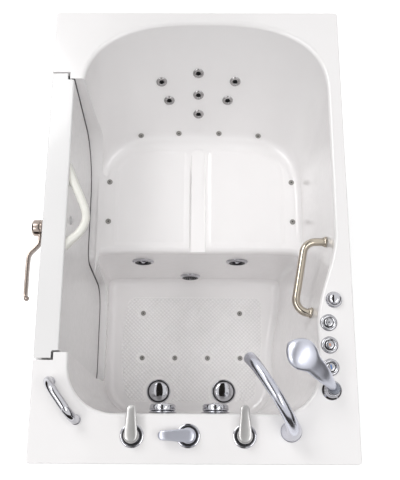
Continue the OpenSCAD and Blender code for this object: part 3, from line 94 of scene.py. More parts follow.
# A closed solid through loops of the same number of points
def loft(rings):
    bm = bmesh.new()
    row = [bm.verts.new(p) for p in rings[0]]
    count = len(row)
    edges = [bm.edges.new((row[i - 1], row[i])) for i in range(count)]
    bm.faces.new(row)
    for ring in rings[1:]:
        made = bmesh.ops.extrude_edge_only(bm, edges=edges)["geom"]
        fresh = {g for g in made if isinstance(g, bmesh.types.BMVert)}
        row = [next(e.other_vert(v) for e in v.link_edges if e.other_vert(v) in fresh) for v in row]
        for v, p in zip(row, ring):
            v.co = p
        edges = [bm.edges.get((row[i - 1], row[i])) for i in range(count)]
    bm.faces.new(row)
    return bm


def softenEdges(bm, width, angle):
    sharp = [e for e in bm.edges
             if len(e.link_faces) == 2 and e.calc_face_angle(0) > math.radians(angle)]
    bmesh.ops.bevel(bm, geom=sharp, offset=width, offset_type="OFFSET", segments=meshing["segments"],
                    profile=0.5, affect="EDGES", clamp_overlap=True, material=-1)


def welded(bm, dist):
    bmesh.ops.remove_doubles(bm, verts=bm.verts, dist=dist)
    bmesh.ops.recalc_face_normals(bm, faces=bm.faces)


def resized(bm, size, shift):
    bmesh.ops.scale(bm, vec=size, verts=bm.verts)
    bmesh.ops.translate(bm, vec=shift, verts=bm.verts)


def joined(bm, part, matrix=None):
    welded(part, meshing["weld"])
    if matrix is not None:
        bmesh.ops.transform(part, matrix=matrix, verts=part.verts)
    carrier = bpy.data.meshes.new("carrier")
    part.to_mesh(carrier)
    part.free()
    bm.from_mesh(carrier)
    bpy.data.meshes.remove(carrier)
    return bm


# Spins a profile of (radius, height) points round Z, softens its rings and puts it in place
def lathe(bm, profile, matrix=None, sides=64, soft=0.0, skin=0):
    part = bmesh.new()
    verts = [part.verts.new((r, 0, z)) for r, z in profile]
    pairs = list(zip(verts, verts[1:]))
    if profile[0][0] > 0 or profile[-1][0] > 0:
        pairs.append((verts[-1], verts[0]))
    edges = [part.edges.new(p) for p in pairs]
    bmesh.ops.spin(part, geom=verts + edges, cent=(0, 0, 0), axis=(0, 0, 1), dvec=(0, 0, 0),
                   angle=math.tau, steps=sides, use_merge=True, use_duplicate=False)
    welded(part, meshing["weld"])
    if soft:
        softenEdges(part, soft, meshing["latheAngle"])
    for face in part.faces:
        face.material_index = skin
    return joined(bm, part, matrix)


def drum(bm, radius, low, high, matrix, sides, soft=0.0, skin=0):
    return lathe(bm, [(0, low), (radius, low), (radius, high), (0, high)], matrix, sides, soft, skin)


def curveThrough(points, count):
    points = [Vector(p) for p in points]
    last = len(points) - 1
    out = []
    for t in steps(0, last, count):
        s = min(int(t), last - 1)
        u = t - s
        a, b, c, d = points[max(s - 1, 0)], points[s], points[s + 1], points[min(s + 2, last)]
        out.append(0.5 * (2 * b + (c - a) * u + (2 * a - 5 * b + 4 * c - d) * u * u
                          + (3 * b - a - 3 * c + d) * u ** 3))
    return out


def bentPath(points, bend, count=20):
    points = [Vector(p) for p in points]
    out = [points[0]]
    for before, p, after in zip(points, points[1:], points[2:]):
        a, b = (before - p).normalized(), (after - p).normalized()
        half = a.angle(b) / 2
        centre = p + (a + b).normalized() * bend / math.sin(half)
        u = (p + a * bend / math.tan(half) - centre).normalized()
        for t in steps(0, math.pi - 2 * half, count):
            out.append(centre + bend * (u * math.cos(t) - a * math.sin(t)))
    return out + [points[-1]]


def evenly(path, gap=4):
    out = [path[0]]
    for a, b in zip(path, path[1:]):
        count = max(1, round((b - a).length / gap))
        out += [a.lerp(b, i / count) for i in range(1, count + 1)]
    return out


def crossways(ahead, flat):
    side = ahead.cross(Vector(flat)).normalized()
    return side, side.cross(ahead).normalized()


def sectionLoop(centre, side, up, wide, tall, sides, power=2.0):
    return [centre + side * wide * signedPow(math.cos(a), 2 / power)
            + up * tall * signedPow(math.sin(a), 2 / power)
            for a in [math.tau * k / sides for k in range(sides)]]


# Loops of a rounded section along a path that is flat in the plane normal to "flat"
def sweepRings(path, halves, flat, sides, power=2.0):
    last = len(path) - 1
    rings = []
    for i, p in enumerate(path):
        ahead = (path[min(i + 1, last)] - path[max(i - 1, 0)]).normalized()
        wide, tall = halves[i] if isinstance(halves, list) else halves
        rings.append(sectionLoop(p, *crossways(ahead, flat), wide, tall, sides, power))
    return rings


def sweep(bm, path, halves, flat, sides, power=2.0, matrix=None):
    return joined(bm, loft(sweepRings(path, halves, flat, sides, power)), matrix)


def prism(outline, x0, x1):
    return joined(bmesh.new(), loft([[Vector((x, p[0], p[1])) for p in outline] for x in (x0, x1)]))


def cube(low, high):
    bm = bmesh.new()
    bmesh.ops.create_cube(bm, size=1)
    size = Vector(high) - Vector(low)
    resized(bm, size, Vector(low) + size / 2)
    return bm


def block(bm, low, high, soft=0.0, matrix=None, skin=0):
    part = cube(low, high)
    if soft:
        softenEdges(part, soft, meshing["blockAngle"])
    for face in part.faces:
        face.material_index = skin
    return joined(bm, part, matrix)


def rod(bm, start, end, radius, sides=32):
    start, end = Vector(start), Vector(end)
    aim = (end - start).to_track_quat("Z", "Y").to_matrix().to_4x4()
    drum(bm, radius, 0, (end - start).length, at(*start) @ aim, sides)


def linkedObject(bm, name):
    mesh = bpy.data.meshes.new(name)
    bm.to_mesh(mesh)
    bm.free()
    obj = bpy.data.objects.new(name, mesh)
    bpy.context.scene.collection.objects.link(obj)
    return obj


# Joins or cuts solids exactly and gives the result back as one bmesh
def combined(base, tools):
    solids = []
    for bm in [base] + [tool for _, tool in tools]:
        bmesh.ops.recalc_face_normals(bm, faces=bm.faces)
        solids.append(linkedObject(bm, "solid"))
    for (operation, _), cutter in zip(tools, solids[1:]):
        modifier = solids[0].modifiers.new("cut", "BOOLEAN")
        modifier.operation = operation
        modifier.solver = "EXACT"
        modifier.object = cutter
    graph = bpy.context.evaluated_depsgraph_get()
    mesh = bpy.data.meshes.new_from_object(solids[0].evaluated_get(graph))
    out = bmesh.new()
    out.from_mesh(mesh)
    for obj in solids:
        old = obj.data
        bpy.data.objects.remove(obj)
        bpy.data.meshes.remove(old)
    bpy.data.meshes.remove(mesh)
    return out


# Turns a bmesh into a piece that rides on its body; "skins" names its finishes, in the order of its slots
def makePiece(name, bm, body, skins, replaces=(), smoothAngle=32, weighted=False):
    welded(bm, meshing["lastWeld"])
    resized(bm, (0.001, 0.001, 0.001), tubMiddle)
    obj = linkedObject(bm, name)
    obj.data.shade_smooth()
    obj.data.set_sharp_from_angle(angle=math.radians(smoothAngle))
    for skin in skins.split():
        obj.data.materials.append(skinOf[skin])
    if weighted:
        obj.modifiers.new("evenShading", "WEIGHTED_NORMAL").keep_sharp = True
    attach(obj, body)
    if replaces:
        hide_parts(*replaces)
    return obj


def linear(colour):
    return [((c / 255 + 0.055) / 1.055) ** 2.4 if c > 10 else c / 255 / 12.92 for c in colour]


def wire(tree, node, values, feeds):
    for key, value in values.items():
        node.inputs[key].default_value = value
    for key, source in feeds.items():
        tree.links.new(source, node.inputs[key])
    return node


def addNode(tree, kind, values={}, feeds={}):
    return wire(tree, tree.nodes.new("ShaderNode" + kind), values, feeds)


# Slow noise on Object coordinates varies the colour, and fine noise the roughness and the bump
def finishOf(name, colour, rough, metal, coat, tint, mottle, grain, spread, bump, stretch=(1, 1, 1)):
    material = bpy.data.materials.new(name)
    material.use_nodes = True
    tree = material.node_tree
    place = addNode(tree, "TexCoord").outputs["Object"]
    drawn = addNode(tree, "Mapping", {"Scale": stretch}, {"Vector": place}).outputs["Vector"]
    slow = addNode(tree, "TexNoise", {"Scale": mottle, "Detail": 4}, {"Vector": place}).outputs["Fac"]
    fine = addNode(tree, "TexNoise", {"Scale": grain, "Detail": 3}, {"Vector": drawn}).outputs["Fac"]
    shades = addNode(tree, "ValToRGB", {}, {"Fac": slow})
    for stop, share, way in zip(shades.color_ramp.elements, (0.3, 0.7), (-1, 1)):
        stop.position = share
        stop.color = [min(1, c * (1 + way * tint)) for c in linear(colour)] + [1]
    rub = addNode(tree, "MapRange", {"From Min": 0.3, "From Max": 0.7, "To Min": max(0.02, rough - spread),
                                     "To Max": rough + spread}, {"Value": fine})
    relief = addNode(tree, "Bump", {"Strength": bump, "Distance": 0.0002}, {"Height": fine})
    shine = {"Coat Weight": coat, "Coat Roughness": 0.06} if coat else {}
    wire(tree, tree.nodes["Principled BSDF"], {"Metallic": metal, "IOR": 1.5, **shine},
         {"Base Color": shades.outputs["Color"], "Roughness": rub.outputs["Result"],
          "Normal": relief.outputs["Normal"]})
    return material


# Colour, roughness, metal, coat, tint, mottle, grain, spread of the roughness, bump and stretch
finishes = {
    "whiteAcrylic": ((247, 245, 245), 0.22, 0, 0.5, 0.012, 5, 60, 0.03, 0.02),
    "grippedFloor": ((253, 251, 251), 0.20, 0, 0.5, 0.02, 9, 500, 0.06, 0.08),
    "doorSkin": ((238, 237, 237), 0.24, 0, 0.5, 0.012, 5, 60, 0.03, 0.02),
    "handleWhite": ((241, 240, 233), 0.30, 0, 0.3, 0.02, 14, 400, 0.05, 0.05),
    "paleCap": ((205, 205, 206), 0.35, 0, 0, 0.03, 30, 700, 0.05, 0.05),
    "doorSealRubber": ((66, 65, 68), 0.62, 0, 0, 0.12, 25, 900, 0.05, 0.25),
    # painted shade: the colour of the dark line of shadow round the closed door
    "doorwayShadeStrip": ((104, 102, 105), 0.55, 0, 0, 0.08, 25, 900, 0.05, 0.2),
    "blackRing": ((22, 22, 24), 0.42, 0, 0, 0.15, 40, 900, 0.05, 0.2),
    "chrome": ((196, 196, 201), 0.06, 1, 0, 0.02, 20, 900, 0.02, 0.02),
    "paleChrome": ((200, 201, 211), 0.22, 1, 0, 0.02, 12, 900, 0.03, 0.02),
    "showerSkin": ((204, 206, 217), 0.34, 1, 0, 0.02, 12, 900, 0.03, 0.02),
    "leverGrey": ((198, 197, 196), 0.34, 1, 0, 0.03, 20, 1200, 0.05, 0.04),
    "collarGrey": ((128, 131, 140), 0.28, 1, 0, 0.05, 25, 900, 0.05, 0.05),
    "satinChrome": ((186, 186, 190), 0.22, 1, 0, 0.04, 25, 1400, 0.05, 0.05),
    "leverBronze": ((176, 163, 155), 0.17, 1, 0, 0.05, 14, 900, 0.03, 0.03),
    "warmNickel": ((190, 181, 167), 0.12, 1, 0, 0.05, 14, 900, 0.03, 0.03),
    "darkThroat": ((38, 38, 42), 0.35, 0.6, 0, 0.2, 60, 900, 0.05, 0.2),
    "stainless": ((176, 178, 180), 0.34, 1, 0, 0.06, 9, 260, 0.08, 0.12, (1, 0.04, 1)),
    "latchSteel": ((150, 151, 155), 0.38, 1, 0, 0.08, 22, 500, 0.08, 0.15),
    "brass": ((196, 164, 96), 0.32, 1, 0, 0.12, 18, 420, 0.1, 0.12),
    "pipePlastic": ((226, 227, 224), 0.42, 0, 0, 0.04, 10, 500, 0.05, 0.08),
    "jetSilver": ((182, 180, 180), 0.26, 0.9, 0, 0.05, 30, 900, 0.05, 0.05),
    "jetGrey": ((150, 148, 144), 0.38, 0, 0, 0.08, 40, 900, 0.05, 0.1),
    "motorPaint": ((58, 62, 68), 0.52, 0, 0, 0.14, 26, 380, 0.1, 0.35),
    "boxGrey": ((188, 190, 192), 0.5, 0, 0, 0.04, 14, 700, 0.05, 0.15),
    "footRubber": ((44, 44, 46), 0.7, 0, 0, 0.15, 30, 600, 0.05, 0.3),
    "panelSkin": ((244, 242, 242), 0.28, 0, 0, 0.006, 4, 40, 0.01, 0.002),
    "orangeMark": ((214, 128, 62), 0.4, 0, 0, 0.05, 60, 900, 0.05, 0.03),
    "blueMark": ((58, 116, 190), 0.4, 0, 0, 0.05, 60, 900, 0.05, 0.03),
    "darkMark": ((42, 42, 46), 0.4, 0, 0, 0.08, 60, 900, 0.05, 0.03),
    "cardBlack": ((40, 34, 30), 0.9, 0, 0, 0.1, 8, 300, 0.05, 0.03),
}
skinOf = {name: finishOf(name, *row) for name, row in finishes.items()}
print("finishes made:", len(skinOf))

tub = {
    "width": 914.4, "length": 1410, "rim": 965, "wall": 8, "flange": 45, "corner": 10, "rimRadius": 10,
    "rimEdge": 3.2, "doorRim": 99, "wallRim": 42, "footDeck": 135, "headRim": 38, "floor": 110, "seat": 540,
    "seatStart": 717, "footCorner": 135, "floorRadius": 32, "lip": 25, "backRadius": 80, "backSlope": 0.53,
    "bulge": 62, "bulgeStart": 665, "bulgeRun": 280, "bulgeAtFloor": 0.56, "wallDraft": 0.1,
    "footDraft": 0.045, "headCurve": 260, "headSquare": 2.6, "seatSquare": 3.9, "frontCurve": 60,
    "frontSquare": 9, "seatSide": 20, "sideRun": 40, "grooveWidth": 56, "grooveDepth": 12,
    "grooveLength": 393, "grooveX": 3, "grooveFade": 90, "grooveRound": 3.5,
    "points": {"corner": 18, "foot": 14, "wall": 44, "head": 96, "door": 34},
}
leftX, rightX = -tub["width"] / 2, tub["width"] / 2
footY, headY = -tub["length"] / 2, tub["length"] / 2
rim, wall, floorZ, seatZ = tub["rim"], tub["wall"], tub["floor"], tub["seat"]
wellLeft, wellRight = leftX + tub["doorRim"], rightX - tub["wallRim"]
wellFoot, wellHead = footY + tub["footDeck"], headY - tub["headRim"]
seatY, bulgeY = footY + tub["seatStart"], footY + tub["bulgeStart"]
curve, backRadius = tub["headCurve"], tub["backRadius"]
backRise = math.degrees(math.atan(1 / tub["backSlope"]))

door = {
    "thick": 71, "skin": 5, "sillUp": 62, "stepDown": 13, "flange": 17, "gap": 5.5, "plugGap": 4,
    "seal": 6.7, "lip": 25, "lean": 0.16, "edgeTop": 241, "hingeAt": 259, "round": 5.0, "shoulder": 14,
    "radii": (0, 0, 60, 95, 45, 200), "points": 12,
}
doorX, doorSkin, doorFlange = leftX + door["thick"], door["skin"], door["flange"]
sillZ, stepZ = floorZ + door["sillUp"], seatZ - door["stepDown"]
shoulderX = doorX - door["shoulder"]
flangeX = shoulderX - door["seal"] - 0.3
seamX = flangeX - doorSkin
hingeY, edgeTop = footY + door["hingeAt"], headY - door["edgeTop"]
jambOut = doorFlange + door["gap"]
lowEdge, stepEdge = seatY - 58, seatY - 27


def arc(x, y, r, start, end, count, tall=None):
    return [(x + r * cosD(a), y + (tall or r) * sinD(a)) for a in steps(start, end, count)]


def backLine(z):
    return wellHead - tub["backSlope"] * (rim - z)


def squareAt(z):
    return lerp(tub["seatSquare"], tub["headSquare"], clamp((z - seatZ) / (rim - seatZ)))


def sideDraft(z):
    return tub["wallDraft"] * (rim - z)


def bulgeAt(z):
    return lerp(1, tub["bulgeAtFloor"], (rim - z) / (rim - floorZ)) * tub["bulge"]


backStart = backLine(seatZ) - backRadius * math.tan(math.radians(backRise / 2))


# One level loop of the well; "side" draws the part over the seat in towards the middle
def wellRing(z, head, bend, square, inset, side=0.0):
    x0, x1 = wellLeft + inset, wellRight - sideDraft(z) - inset
    y0, r = wellFoot + tub["footDraft"] * (rim - z) + inset, tub["footCorner"] - inset
    turn, middle, half = head - bend, (x0 + x1) / 2, (x1 - x0) / 2
    points = tub["points"]
    loop = arc(x0 + r, y0 + r, r, 180, 270, points["corner"])
    loop += [(x, y0) for x in steps(x0 + r, x1 - r, points["foot"])[1:-1]]
    loop += arc(x1 - r, y0 + r, r, 270, 360, points["corner"])
    loop += [(x1, lerp(y0 + r, turn, t ** 1.25)) for t in steps(0, 1, points["wall"])[1:-1]]
    loop += [(middle + half * signedPow(cosD(a), 2 / square), turn + bend * abs(sinD(a)) ** (2 / square))
             for a in steps(0, 180, points["head"])]
    loop += [(x0, y) for y in steps(turn, y0 + r, points["door"])[1:-1]]
    out = []
    for x, y in loop:
        if x > middle:
            x = middle + (x - middle) * (1 - bulgeAt(z) * smooth((bulgeY - y) / tub["bulgeRun"]) / half)
        if side:
            x = middle + (x - middle) * (1 - side * smooth((y - seatY - tub["lip"]) / tub["sideRun"]) / half)
        out.append(Vector((x, y, z)))
    return out


# The well from its floor to its rim; the same loops grown by g make the wall's other side
def wellRings(g, fine):
    rings, r, lip, s = [], tub["floorRadius"], tub["lip"], tub["seatSide"]
    front = tub["frontCurve"], tub["frontSquare"]
    counts = (9, 8, 9, 14, 10) if fine else (4, 3, 4, 5, 4)
    for a in steps(0, 90, counts[0]):
        inset = r - (r + g) * sinD(a)
        rings.append(wellRing(floorZ + r - (r + g) * cosD(a), seatY - inset, *front, inset))
    for t in steps(0, 1, counts[1])[1:-1]:
        rings.append(wellRing(lerp(floorZ + r, seatZ - lip, t), seatY + g, *front, -g))
    for a in steps(0, 78, counts[2]):
        rings.append(wellRing(seatZ - lip + (lip - g) * sinD(a), seatY + lip - (lip - g) * cosD(a),
                              *front, -g))
    r = backRadius
    for a in steps(0, backRise, counts[3]):
        rise = r * (1 - cosD(a))
        side = s - math.sqrt(max(0, s * s - max(0, s - rise) ** 2)) if fine else 0
        rings.append(wellRing(seatZ + r - (r + g) * cosD(a), backStart + (r + g) * sinD(a), curve + g,
                              squareAt(seatZ + rise), -g, side))
    for t in steps(0, 1, counts[4])[1:-1]:
        z = lerp(seatZ + r * (1 - cosD(backRise)), rim - tub["rimRadius"], t)
        rings.append(wellRing(z, backLine(z) + g / sinD(backRise), curve + g, squareAt(z), -g))
    return rings


def wellInside():
    r, square, rings = tub["rimRadius"], tub["headSquare"], wellRings(0, True)
    for a in steps(0, 88, 9):
        z, out = rim - r + r * sinD(a), r * (1 - cosD(a))
        rings.append(wellRing(z, backLine(z) + out, curve + out, square, -out))
    rings.append(wellRing(rim + 24, backLine(rim) + 1.5 * r, curve + r, square, -r))
    return loft(rings)


def wellOutside():
    z = rim - wall / 2
    return loft(wellRings(wall, False) + [
        wellRing(z, backLine(z) + wall / sinD(backRise), curve + wall, tub["headSquare"], -wall)])


# The backrest's surface at x and z
def backAt(x, z):
    x1 = wellRight - sideDraft(z)
    u = abs(x - (wellLeft + x1) / 2) / ((x1 - wellLeft) / 2)
    n, y = squareAt(z), backLine(z)
    if z < seatZ + backRadius * (1 - cosD(backRise)):
        y = backStart + backRadius * math.sin(math.acos(clamp((seatZ + backRadius - z) / backRadius)))
    return y - curve + curve * (1 - u ** n) ** (1 / n)


def backMatrix(x, z):
    away = Vector((backAt(x + 1, z) - backAt(x, z), -1, backAt(x, z + 1) - backAt(x, z))).normalized()
    swing = math.degrees(math.acos(away.z))
    return at(x, backAt(x, z), z) @ turnZ(math.degrees(math.atan2(away.y, away.x))) @ turnY(swing)


def wallAt(y, z):
    return wellRight - sideDraft(z) - bulgeAt(z) * smooth((bulgeY - y) / tub["bulgeRun"])


def leanAt(z):
    return edgeTop - door["lean"] * (rim - z)


# The door's outline in Y and Z, grown by g, with its corners rounded
def doorOutline(g, top):
    corners = [Vector(c) for c in ((leanAt(top), top), (hingeY + 45, top), (hingeY + 24, sillZ),
                                   (lowEdge, sillZ), (stepEdge, stepZ), (leanAt(stepZ), stepZ))]
    count, points = len(corners), door["points"]
    ways = [(corners[(i + 1) % count] - corners[i]).normalized() for i in range(count)]
    outs = [Vector((w.y, -w.x)) for w in ways]
    starts = [c + o * (g if i else 0) for i, (c, o) in enumerate(zip(corners, outs))]
    loop = []
    for i, radius in enumerate(door["radii"]):
        a, b, out = ways[i - 1], ways[i], outs[i - 1]
        corner = starts[i] + b * ((starts[i - 1] - starts[i]).cross(a) / b.cross(a))
        bend = math.copysign(1, a.cross(b))
        r = max(0, radius + g * bend) if radius else 0
        if not r:
            loop += [corner] * (points + 1 if radius else 1)
            continue
        swing = math.acos(a.dot(b))
        o = out * r * bend
        centre = corner - a * r * math.tan(swing / 2) - o
        for t in steps(0, bend * swing, points):
            loop.append(centre + Vector((o.x * math.cos(t) - o.y * math.sin(t),
                                         o.x * math.sin(t) + o.y * math.cos(t))))
    return loop


def rimTray():
    e, drop, corner = tub["rimEdge"], rim - tub["flange"], tub["corner"]
    levels = [(rim - wall, wall), (drop, wall), (drop, 0)]
    levels += [(rim - e + e * sinD(a), e * (1 - cosD(a))) for a in steps(0, 90, 5)]
    return loft([[Vector((sx * (rightX - corner) + (corner - inset) * cosD(a),
                          sy * (headY - corner) + (corner - inset) * sinD(a), z))
                  for sx, sy, a0 in ((1, -1, -90), (1, 1, 0), (-1, 1, 90), (-1, -1, 180))
                  for a in steps(a0, a0 + 90, 8)] for z, inset in levels])


# The drain groove as a long slot with a round end, flared at its top
def grooveCutter():
    e, half, fade, deep = tub["grooveRound"], tub["grooveWidth"] / 2, tub["grooveFade"], tub["grooveDepth"]
    y0, y1 = seatY - 12, seatY + tub["grooveLength"] - half
    levels = [(seatZ - deep + e * (1 - cosD(a)), half - e + e * sinD(a)) for a in steps(0, 90, 5)]
    levels += [(seatZ - e + e * sinD(a), half + e * (1 - cosD(a))) for a in steps(0, 88, 6)]
    levels.append((seatZ + 6, half + e))
    rings = []
    for z, w in levels:
        loop = [(-w, y) for y in steps(y1, y0, 40)[1:]] + [(w, y) for y in steps(y0, y1, 40)[:-1]]
        loop += arc(0, y1, w, 0, 180, 20)
        rise = (deep - 0.4) * max(0, (seatZ - z) / deep)
        rings.append([Vector((tub["grooveX"] + x, y, z + rise * smooth((y - y1 + fade) / fade)))
                      for x, y in loop])
    return loft(rings)


holes = {"drain": 27, "foot": 29, "back": 13, "bolt": 5.6, "boltX": 26, "boltZs": (rim - 80, 330)}
drainXs, drainY = (-150, 106), footY + 268
footJetXs, footJetZ = (-199, 149), seatZ - 128
suctionX, suctionZ = -28, floorZ + 75
backJetX = 5
backJetSpots = ((0, 647), (-103, 700), (0, 719), (103, 700), (-127, 770), (0, 797), (127, 770))


def shellHoles():
    bm = bmesh.new()
    for x in drainXs:
        rod(bm, (x, drainY, floorZ - 20), (x, drainY, floorZ + 5), holes["drain"])
    for x, z in [(x, footJetZ) for x in footJetXs] + [(suctionX, suctionZ)]:
        rod(bm, (x, seatY - 10, z), (x, seatY + 20, z), holes["foot"])
    for x, z in backJetSpots:
        drum(bm, holes["back"], -20, 8, backMatrix(backJetX + x, z), 32)
    for z in holes["boltZs"]:
        x, y = leftX + holes["boltX"], leanAt(z) if z > stepZ else lowEdge
        rod(bm, (x, y, z), (x, y + 60, z), holes["bolt"])
    return bm


# The door's outline grown by g, from the shoulder into the well; past the well's side it stays over the seat
def passage(g, top, x0, side, reach, front, below):
    near = block(bmesh.new(), (x0 - 5, footY, 100), (side, headY, rim + 60))
    far = block(bmesh.new(), (side - 3, seatY + front, below),
                (wellLeft + reach + 5, seatY + 480, rim + 55))
    return combined(prism(doorOutline(g, top), x0, wellLeft + reach),
                    [("INTERSECT", combined(near, [("UNION", far)]))])


def madeTubShell():
    top, middle, half = rim - wall / 2, tub["grooveX"], tub["grooveWidth"] / 2 + wall
    lip = prism(doorOutline(jambOut + door["lip"], top + 0.6), leftX + 0.5, leftX + 0.5 + wall)
    sides = prism(doorOutline(jambOut + wall, top + 1.2), leftX + 1, shoulderX + wall)
    edge = block(bmesh.new(), (wellLeft - 1, seatY - 30, stepZ - wall),
                 (wellLeft + wall, seatY + 400, seatZ - 1))
    duct = block(bmesh.new(), (middle - half, seatY + 14, seatZ - tub["grooveDepth"] - wall),
                 (middle + half, seatY + tub["grooveLength"] + wall, seatZ - 6))
    walk = passage(wall, top - 0.7, shoulderX + 1, wellLeft + wall, 110, 0, seatZ - wall)
    cuts = (wellInside(), prism(doorOutline(jambOut, rim + 30), leftX - 1, shoulderX),
            passage(0, rim + 30, shoulderX - 1, wellLeft + 0.3, 111, 5, seatZ + 0.2),
            grooveCutter(), shellHoles())
    added = (wellOutside(), lip, sides, walk, edge, duct)
    return combined(rimTray(), [("UNION", bm) for bm in added] + [("DIFFERENCE", bm) for bm in cuts])


tubShell = makePiece("tubShell", madeTubShell(), "tub", "whiteAcrylic", ["tub_shell"], weighted=True)
print("tub shell made:", len(tubShell.data.polygons), "faces")

grip = {
    "left": -302, "right": 262, "front": -478, "back": -59, "pitch": 11, "height": 2.4, "cell": 1.9,
    "jetHalo": 17, "drainHalo": 56, "edge": 7, "sunk": 2.5, "corner": 30, "rightCut": 33, "leftBow": 26,
    "pebble": 0.6, "step": 0.55, "grooveShade": 0.84,
}
floorJets = [(x, seatY - 318) for x in (-218, -88, 42, 172)] + [(x, seatY - 138) for x in (-218, 172)]


# How far a spot lies inside the grip's outline, clear of its jets and drains
def gripRoom(x, y):
    t = clamp((y - grip["front"]) / (grip["back"] - grip["front"]))
    right = grip["right"] - grip["rightCut"] * (1 - smooth(t * 1.6))
    left, corner = grip["left"] + grip["leftBow"] * (2 * t - 1) ** 2, grip["corner"]
    dx = max(left + corner - x, x - right + corner, 0)
    dy = max(grip["front"] + corner - y, y - grip["back"] + corner, 0)
    return min([corner - math.hypot(dx, dy)]
               + [math.hypot(x - jx, y - jy) - grip["jetHalo"] for jx, jy in floorJets]
               + [math.hypot(x - jx, y - drainY) - grip["drainHalo"] for jx in drainXs])


def madeFloorGrip():
    bm = bmesh.new()
    wide, deep, cell = grip["right"] - grip["left"], grip["back"] - grip["front"], grip["cell"]
    bmesh.ops.create_grid(bm, x_segments=round(wide / cell), y_segments=round(deep / cell), size=0.5)
    resized(bm, (wide, deep, 1), (grip["left"] + wide / 2, grip["front"] + deep / 2, 0))
    outside = [v for v in bm.verts if gripRoom(v.co.x, v.co.y) < -cell]
    bmesh.ops.delete(bm, geom=outside, context="VERTS")
    k, diagonal = math.pi / grip["pitch"], 0.7071
    bead = bm.verts.layers.float.new("bead")
    for v in bm.verts:
        x, y = v.co.x, v.co.y
        room = gripRoom(x, y)
        u, w = (x + y) * diagonal, (x - y) * diagonal
        pebble = abs(math.sin(u * k) * math.sin(w * k)) ** grip["pebble"]
        share = smooth(room / grip["edge"])
        v.co.z = floorZ - 0.5 + grip["step"] * smooth((room + 2) / 3) + grip["height"] * share * pebble
        # painted shade: "bead" is 1 on the beads and at the border and falls in the grooves, where the colour
        # is darkened
        v[bead] = 1 - share * (1 - pebble)
    border = [e for e in bm.edges if len(e.link_faces) == 1]
    made = bmesh.ops.extrude_edge_only(bm, edges=border)["geom"]
    for v in [g for g in made if isinstance(g, bmesh.types.BMVert)]:
        v.co.z = floorZ - grip["sunk"]
    border = [e for e in bm.edges if len(e.link_faces) == 1]
    bmesh.ops.triangle_fill(bm, edges=border, use_beauty=True, use_dissolve=False)
    return bm


# Painted shade: the grooves between the beads are painted darker than the beads, as their "bead" attribute says
tree = skinOf["grippedFloor"].node_tree
share = addNode(tree, "Attribute")
share.attribute_name = "bead"
level = addNode(tree, "MapRange", {"To Min": grip["grooveShade"]}, {"Value": share.outputs["Fac"]})
shade = addNode(tree, "VectorMath")
shade.operation = "SCALE"
ramp = next(n for n in tree.nodes if n.bl_idname == "ShaderNodeValToRGB")
wire(tree, shade, {}, {0: ramp.outputs["Color"], "Scale": level.outputs["Result"]})
tree.links.new(shade.outputs["Vector"], tree.nodes["Principled BSDF"].inputs["Base Color"])

floorGrip = makePiece("floorGrip", madeFloorGrip(), "tub", "grippedFloor", smoothAngle=80)
print("floor grip made:", len(floorGrip.data.polygons), "faces")

pads = {"left": -298, "right": 315, "front": 22, "back": 392, "height": 2.2, "edge": 16, "groove": 36,
        "corner": 22, "rear": 150, "squash": 0.62}


# One raised seat pad between x0 and x1, whose rear outer corner is cut by a long arc
def padLoop(x0, x1, outer, inset, z):
    y0, y1 = seatY + pads["front"] + inset, seatY + pads["back"] - inset
    x0, x1 = x0 + inset, x1 - inset
    r, big = pads["corner"] - inset, pads["rear"] - inset
    corners = [(x1, y0, r), (x1, y1, big if outer > 0 else r),
               (x0, y1, r if outer > 0 else big), (x0, y0, r)]
    loop = []
    for i, (x, y, c) in enumerate(corners):
        sx, sy = (-1 if x == x1 else 1), (-1 if y == y1 else 1)
        squash = pads["squash"] if c == big else 1
        spots = arc(x + sx * c, y + sy * c * squash, c, i * 90 - 90, i * 90, 12, c * squash)
        loop += [Vector((*spot, z)) for spot in spots]
    return loop


def madeSeatPads():
    bm, mid, half, h = bmesh.new(), tub["grooveX"], pads["groove"], pads["height"]
    for ends in ((pads["left"], mid - half, -1), (mid + half, pads["right"], 1)):
        joined(bm, loft([padLoop(*ends, -1, seatZ - 1)]
                        + [padLoop(*ends, pads["edge"] * t, seatZ - 0.1 + (h + 0.1) * smooth(t))
                           for t in steps(0, 1, 12)]))
    return bm


makePiece("seatPads", madeSeatPads(), "tub", "whiteAcrylic", smoothAngle=50, weighted=True)
print("seat pads made")


def outlineAt(x, g, top):
    return [Vector((x, p.x, p.y)) for p in doorOutline(g, top)]


# Loops of a door skin from its hollow over the seam to its face, whose edge is rounded by r
def skinRings(hollow, back, between, face, way, r, edge, count):
    rings = [outlineAt(back, hollow, rim - doorSkin), outlineAt(seamX, hollow, rim - doorSkin),
             outlineAt(seamX, doorFlange, rim)] + between
    for a in steps(0, 90, count):
        fall = r * (1 - cosD(a))
        rings.append(outlineAt(face - way * (r - r * sinD(a)), edge - fall, rim - fall))
    return rings + [outlineAt(face, edge - r - 4, rim - r - 4)]


def madeDoorOuter():
    return loft(skinRings(doorFlange - doorSkin, leftX + doorSkin, [], leftX, -1, 3.0, doorFlange, 5))


def madeDoorInner():
    e, gap = 1.2, -door["plugGap"]
    lip = [outlineAt(x, g, rim) for x, g in (
        (flangeX - e, doorFlange), (flangeX, doorFlange - e), (flangeX, gap + 3), (flangeX + 3, gap))]
    return loft(skinRings(gap - doorSkin, doorX - doorSkin, lip, doorX, 1, door["round"], gap, 7))


for name, bm, node in (("doorOuterSkin", madeDoorOuter(), "door_outer_panel"),
                       ("doorInnerSkin", madeDoorInner(), "door_inner_panel")):
    makePiece(name, bm, "door", "doorSkin", [node], weighted=True)

strip = {"from": -9.5, "to": 1.7, "sunk": 0.8, "proud": 0.5}
